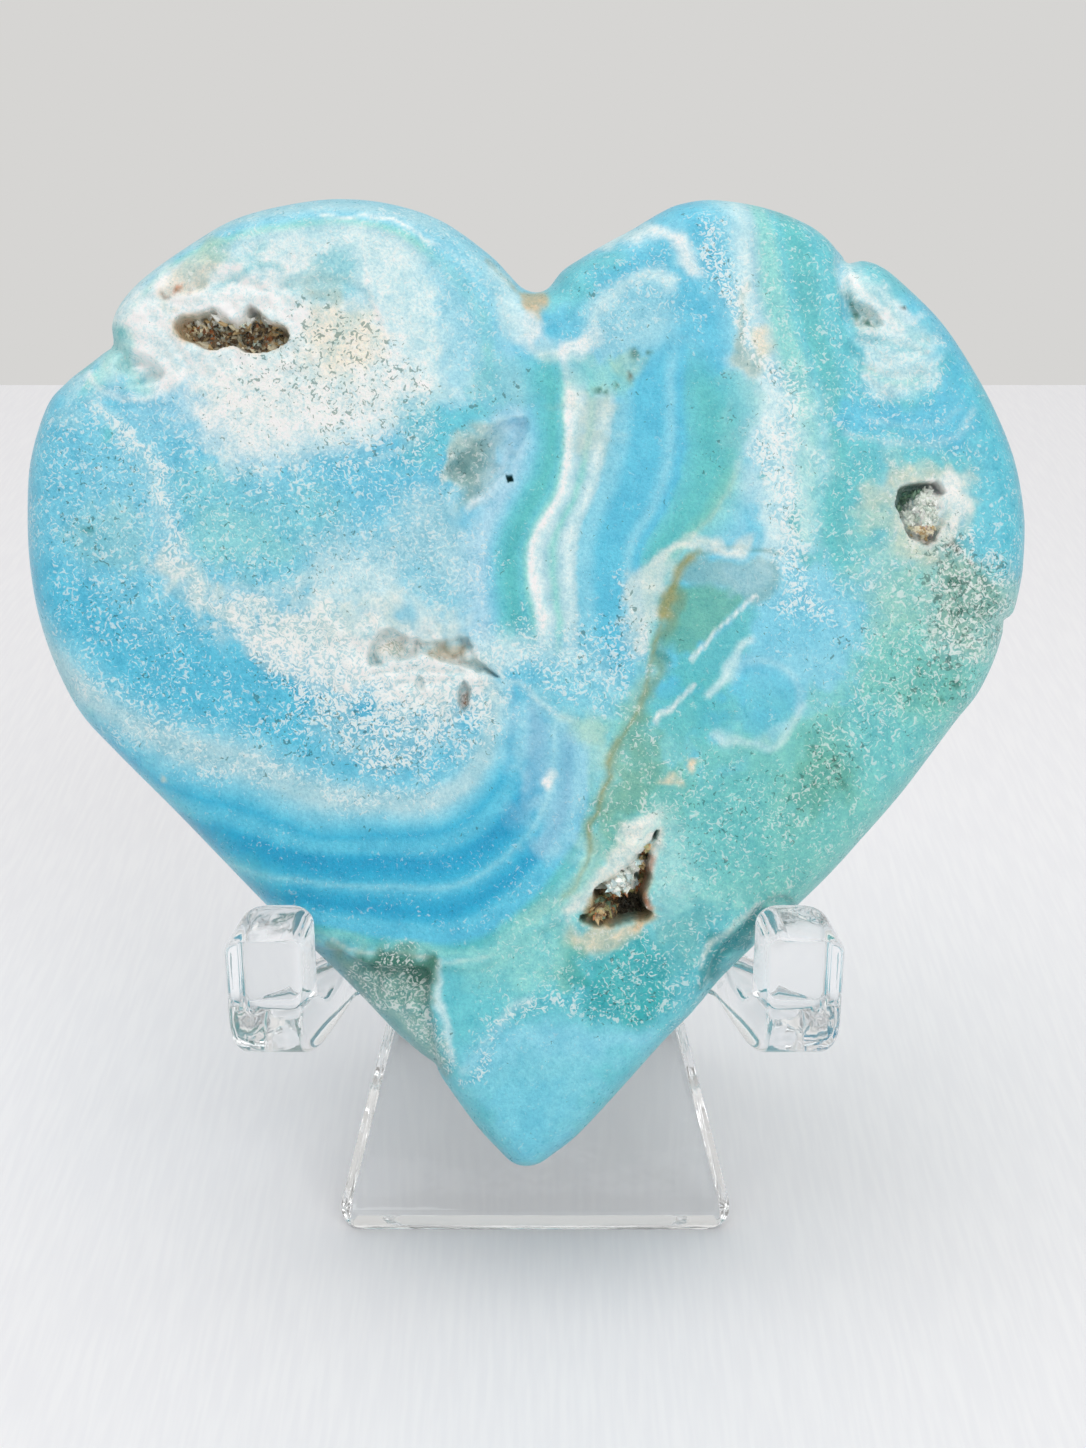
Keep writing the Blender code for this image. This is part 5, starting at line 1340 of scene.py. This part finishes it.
def make_easel(finish):
    """The easel, moulded in one piece, with its hooks joined on."""
    easel = add_piece("clear_easel", make_legs(), finish, "clear_plastic", "easel")
    rim = easel.modifiers.new("soften the rim", "BEVEL")
    rim.width = RIM_ROUND * MM
    rim.segments = RIM_SEGMENTS
    rim.limit_method = "ANGLE"
    rim.angle_limit = RIM_ANGLE
    rim.use_clamp_overlap = True
    hooks = []
    for side in (-1, 1):
        hook = bpy.data.objects.new("hook", make_hook(side))
        bpy.context.scene.collection.objects.link(hook)
        union = easel.modifiers.new("join", "BOOLEAN")
        union.operation = "UNION"
        union.solver = "EXACT"
        union.object = hook
        hooks.append(hook)
    bpy.context.view_layer.update()
    shown = easel.evaluated_get(bpy.context.evaluated_depsgraph_get())
    whole = bpy.data.meshes.new_from_object(shown)
    easel.modifiers.clear()
    easel.data = whole
    whole.shade_smooth()
    whole.set_sharp_from_angle(angle=SHARP_ANGLE)
    for hook in hooks:
        bpy.data.objects.remove(hook, do_unlink=True)
    return easel


def ranged(tree, value, low, high, to_low=0.0, to_high=1.0):
    """A smooth step of a value from one range to another, as a node's output."""
    step = tree.nodes.new("ShaderNodeMapRange")
    step.interpolation_type = "SMOOTHSTEP"
    tree.links.new(value, step.inputs["Value"])
    limits = {"From Min": low, "From Max": high, "To Min": to_low, "To Max": to_high}
    for name, number in limits.items():
        step.inputs[name].default_value = number
    return step.outputs["Result"]


class Finish:
    """A material being built: a few shorthands for adding and joining its nodes."""

    def __init__(self, name):
        self.material = bpy.data.materials.new(name)
        self.material.use_nodes = True
        self.tree = self.material.node_tree
        self.shader = self.tree.nodes["Principled BSDF"]

    def node(self, kind, **settings):
        """A new node. A setting is one of its inputs or else one of its properties."""
        made = self.tree.nodes.new("ShaderNode" + kind)
        for name, value in settings.items():
            if name in made.inputs:
                made.inputs[name].default_value = value
            else:
                setattr(made, name, value)
        return made

    def join(self, output, socket):
        self.tree.links.new(output, socket)

    def give(self, output, name):
        """Joins an output to one of the shader's inputs."""
        self.join(output, self.shader.inputs[name])

    def set(self, **values):
        """Sets the shader's inputs to plain values."""
        for name, value in values.items():
            self.shader.inputs[name.replace("_", " ")].default_value = value

    def noise(self, per_mm, detail, rough, distortion=0.0, shift=0.0):
        """Noise in the surface's own coordinates. per_mm is how many lumps a millimetre has."""
        mapped = self.node("Mapping", Location=(shift,) * 3, Scale=(1 / MM,) * 3)
        self.join(self.node("TexCoord").outputs["Object"], mapped.inputs["Vector"])
        made = self.node("TexNoise", Scale=per_mm, Detail=detail, Roughness=rough,
                         Distortion=distortion)
        self.join(mapped.outputs["Vector"], made.inputs["Vector"])
        return made.outputs["Fac"]

    def sum(self, operation, *values):
        """Arithmetic on numbers and other nodes' outputs."""
        made = self.node("Math", operation=operation)
        for i, value in enumerate(values):
            if isinstance(value, (int, float)):
                made.inputs[i].default_value = value
            else:
                self.join(value, made.inputs[i])
        return made.outputs[0]

    def scaled(self, value, times, plus=0.0):
        return self.sum("MULTIPLY_ADD", value, times, plus)

    def ranged(self, value, low, high, to_low=0.0, to_high=1.0):
        return ranged(self.tree, value, low, high, to_low, to_high)

    def above(self, value, limit, soft):
        """0 where a value is below a limit and 1 where it is above it, with a soft step."""
        return self.ranged(self.sum("SUBTRACT", value, limit), 0.0, soft)

    def mixed(self, share, first, second, blend="MIX"):
        """Two colours mixed. The share and the colours are plain values or outputs."""
        made = self.node("Mix", data_type="RGBA", blend_type=blend)
        for socket, value in ((made.inputs[0], share), (made.inputs[6], first),
                              (made.inputs[7], second)):
            if isinstance(value, (int, float)):
                socket.default_value = value
            elif isinstance(value, (tuple, np.ndarray)):
                socket.default_value = (*value, 1.0)
            else:
                self.join(value, socket)
        return made.outputs[2]

    def tinted(self, colour, tint):
        return self.mixed(1.0, colour, tint, "MULTIPLY")

    def read(self, name, output="Fac"):
        """What the mesh's points carry under a name."""
        return self.node("Attribute", attribute_name=name).outputs[output]

    def bump(self, height, strength, distance_mm):
        made = self.node("Bump", Strength=strength, Distance=distance_mm * MM)
        self.join(height, made.inputs["Height"])
        self.give(made.outputs["Normal"], "Normal")


# Tints that the stone's colour is multiplied by
CLOUD_DARK = (0.8, 0.92, 0.95)
CLOUD_BRIGHT = (1.21, 1.09, 1.06)
GRAIN_DARK = (0.83, 0.91, 0.94)
GRAIN_BRIGHT = (1.19, 1.11, 1.08)
GAP_TINT = (0.42, 0.71, 0.81)
PIT_TINT = (0.28, 0.4, 0.39)
PIT_STRENGTH = 0.85


def calcite_finish():
    """Polished banded calcite: soft clouds, white curls and flecks, and small dark specks."""
    made = Finish("banded calcite")
    colour = made.read("paint", "Color")
    flecks = made.read("flecks")
    specks = made.read("specks")

    clouds = made.ranged(made.noise(per_mm=0.4, detail=6.0, rough=0.7), 0.34, 0.66)
    colour = made.tinted(colour, made.mixed(clouds, CLOUD_DARK, CLOUD_BRIGHT))
    grain = made.ranged(made.noise(per_mm=3.0, detail=4.0, rough=0.75), 0.32, 0.7)
    colour = made.tinted(colour, made.mixed(grain, GRAIN_DARK, GRAIN_BRIGHT))

    # White curls and the darker gaps between them, both stronger where flecks lie thick
    curls = made.noise(per_mm=1.6, detail=2.0, rough=0.5, distortion=1.8)
    gaps = made.above(made.sum("SUBTRACT", 1.0, curls), made.scaled(flecks, -0.1, 0.58), 0.12)
    share = made.sum("MULTIPLY", gaps, made.scaled(flecks, 0.5, 0.1))
    colour = made.mixed(share, colour, made.tinted(colour, GAP_TINT))
    white = made.above(curls, made.scaled(flecks, -0.21, 0.65), 0.12)
    share = made.sum("MULTIPLY", white, made.scaled(flecks, 0.6, 0.18))
    colour = made.mixed(share, colour, LIGHT["white"])

    # Small dark pits where specks lie
    pits = made.noise(per_mm=1.9, detail=1.0, rough=0.4, distortion=1.2, shift=7.0)
    dark = made.above(pits, made.scaled(specks, -0.19, 0.78), 0.04)
    colour = made.mixed(made.scaled(dark, PIT_STRENGTH), colour, made.tinted(colour, PIT_TINT))
    colour.node.clamp_result = True
    made.give(colour, "Base Color")

    wear = made.ranged(made.noise(per_mm=1.6, detail=4.0, rough=0.6), 0.3, 0.75, 0.26, 0.42)
    made.give(made.sum("ADD", wear, made.scaled(white, 0.12)), "Roughness")
    made.set(IOR=1.5, Coat_Weight=0.25, Coat_Roughness=0.22, Subsurface_Weight=0.12,
             Subsurface_Scale=2 * MM, Subsurface_Radius=(0.6, 1.0, 1.1))
    height = made.sum("ADD", made.scaled(white, 0.5), made.scaled(grain, 0.5))
    made.bump(height, strength=0.55, distance_mm=0.1)
    return made.material


def crystal_finish(name):
    """Small rough crystals that keep the colour they are given, with a grain of their own."""
    made = Finish(name)
    grain = made.ranged(made.noise(per_mm=4.0, detail=4.0, rough=0.7), 0.3, 0.7)
    colour = made.mixed(made.scaled(grain, 0.25), made.read("paint", "Color"), LIGHT["cream"])
    made.give(colour, "Base Color")
    made.give(made.ranged(grain, 0.0, 1.0, 0.25, 0.55), "Roughness")
    made.set(IOR=1.5)
    made.bump(grain, strength=0.2, distance_mm=0.05)
    return made.material


def plastic_finish():
    """Clear moulded plastic: smooth, with faint flow lines and a few cloudy places."""
    made = Finish("clear plastic")
    flow = made.noise(per_mm=0.22, detail=3.0, rough=0.5)
    cloudy = made.noise(per_mm=1.4, detail=5.0, rough=0.7)
    made.give(made.ranged(cloudy, 0.4, 0.8, 0.015, 0.07), "Roughness")
    made.set(IOR=1.49, Transmission_Weight=1.0, Base_Color=(0.97, 0.98, 0.985, 1.0))
    made.bump(flow, strength=0.3, distance_mm=0.12)
    return made.material


def table_finish():
    """A pale table top with a faint grain that runs away from the viewer."""
    made = Finish("pale table")
    stretched = made.node("Mapping", Scale=(1500.0, 90.0, 90.0))
    made.join(made.node("TexCoord").outputs["Object"], stretched.inputs["Vector"])
    grain = made.node("TexNoise", Scale=1.0, Detail=3.0)
    made.join(stretched.outputs["Vector"], grain.inputs["Vector"])
    tone = made.ranged(grain.outputs["Fac"], 0.35, 0.7)
    made.give(made.mixed(tone, linear((235, 235, 239)), linear((239, 239, 242))), "Base Color")
    made.set(Roughness=0.6)
    made.bump(grain.outputs["Fac"], strength=0.05, distance_mm=0.1)
    return made.material


# The camera and the room, in millimetres
CAMERA_PLACE = (1.71, -208.34, 141.4)
CAMERA_DOWN = math.radians(23.1)
CAMERA_LENS = 54.1
CAMERA_SENSOR = 36.0
TABLE_FRONT = -700.0
TABLE_FAR_EDGE = 348.7
TABLE_HALF_WIDTH = 900.0
TABLE_GAP = 0.03
ROOM_COLOUR = (214, 213, 211)
# How the room's light grows along an axis: from where to where, and from what to what
ROOM_LIGHT = (("Y", -0.9, 0.4, 0.45, 1.0), ("Z", 0.2, 1.0, 0, 0.5))


def make_table():
    """A flat table top, a hair below the easel's feet, that ends at its far edge."""
    corners = [(-TABLE_HALF_WIDTH, TABLE_FRONT), (TABLE_HALF_WIDTH, TABLE_FRONT),
               (TABLE_HALF_WIDTH, TABLE_FAR_EDGE), (-TABLE_HALF_WIDTH, TABLE_FAR_EDGE)]
    mesh = bpy.data.meshes.new("table")
    mesh.from_pydata([(x * MM, y * MM, -TABLE_GAP * MM) for x, y in corners], [], [(0, 1, 2, 3)])
    mesh.materials.append(table_finish())
    table = bpy.data.objects.new("table", mesh)
    bpy.context.scene.collection.objects.link(table)


def add_light(name, place, target, size, power):
    """A soft square light that faces a target. Places and size are in metres."""
    light = bpy.data.lights.new(name, "AREA")
    light.size = size
    light.energy = power
    lamp = bpy.data.objects.new(name, light)
    lamp.location = place
    direction = Vector(target) - Vector(place)
    lamp.rotation_euler = direction.to_track_quat("-Z", "Y").to_euler()
    bpy.context.scene.collection.objects.link(lamp)


def make_room():
    """Soft pale light from all round, stronger from above."""
    world = bpy.data.worlds.new("room")
    world.use_nodes = True
    tree = world.node_tree
    sky = tree.nodes["Background"]
    sky.inputs["Color"].default_value = (*linear(ROOM_COLOUR), 1.0)
    direction = tree.nodes.new("ShaderNodeSeparateXYZ")
    tree.links.new(tree.nodes.new("ShaderNodeTexCoord").outputs["Generated"],
                   direction.inputs["Vector"])
    total = tree.nodes.new("ShaderNodeMath")
    for i, (axis, *limits) in enumerate(ROOM_LIGHT):
        tree.links.new(ranged(tree, direction.outputs[axis], *limits), total.inputs[i])
    tree.links.new(total.outputs[0], sky.inputs["Strength"])
    add_light("overhead", (-0.15, -0.05, 0.75), (0, 0, 0.03), 0.7, 1.3)
    add_light("front", (0.3, -0.65, 0.5), (0, 0, 0.05), 0.5, 1.9)
    scene = bpy.context.scene
    scene.world = world
    scene.view_settings.view_transform = "Standard"
    scene.cycles.max_bounces = 20
    scene.cycles.glossy_bounces = 16
    scene.cycles.transmission_bounces = 20


def make_camera():
    """The camera that took the photo."""
    lens = bpy.data.cameras.new("camera")
    lens.lens = CAMERA_LENS
    lens.sensor_width = CAMERA_SENSOR
    lens.clip_start = 0.01
    camera = bpy.data.objects.new("camera", lens)
    camera.location = Vector(CAMERA_PLACE) * MM
    camera.rotation_euler = (math.pi / 2 - CAMERA_DOWN, 0, 0)
    bpy.context.scene.collection.objects.link(camera)
    bpy.context.scene.camera = camera


make_camera()
make_room()
make_table()
make_heart(calcite_finish())
for seed, druse in enumerate(DRUSES, start=1):
    make_druse(druse, crystal_finish(druse.slot.replace("_", " ")), seed)
make_easel(plastic_finish())
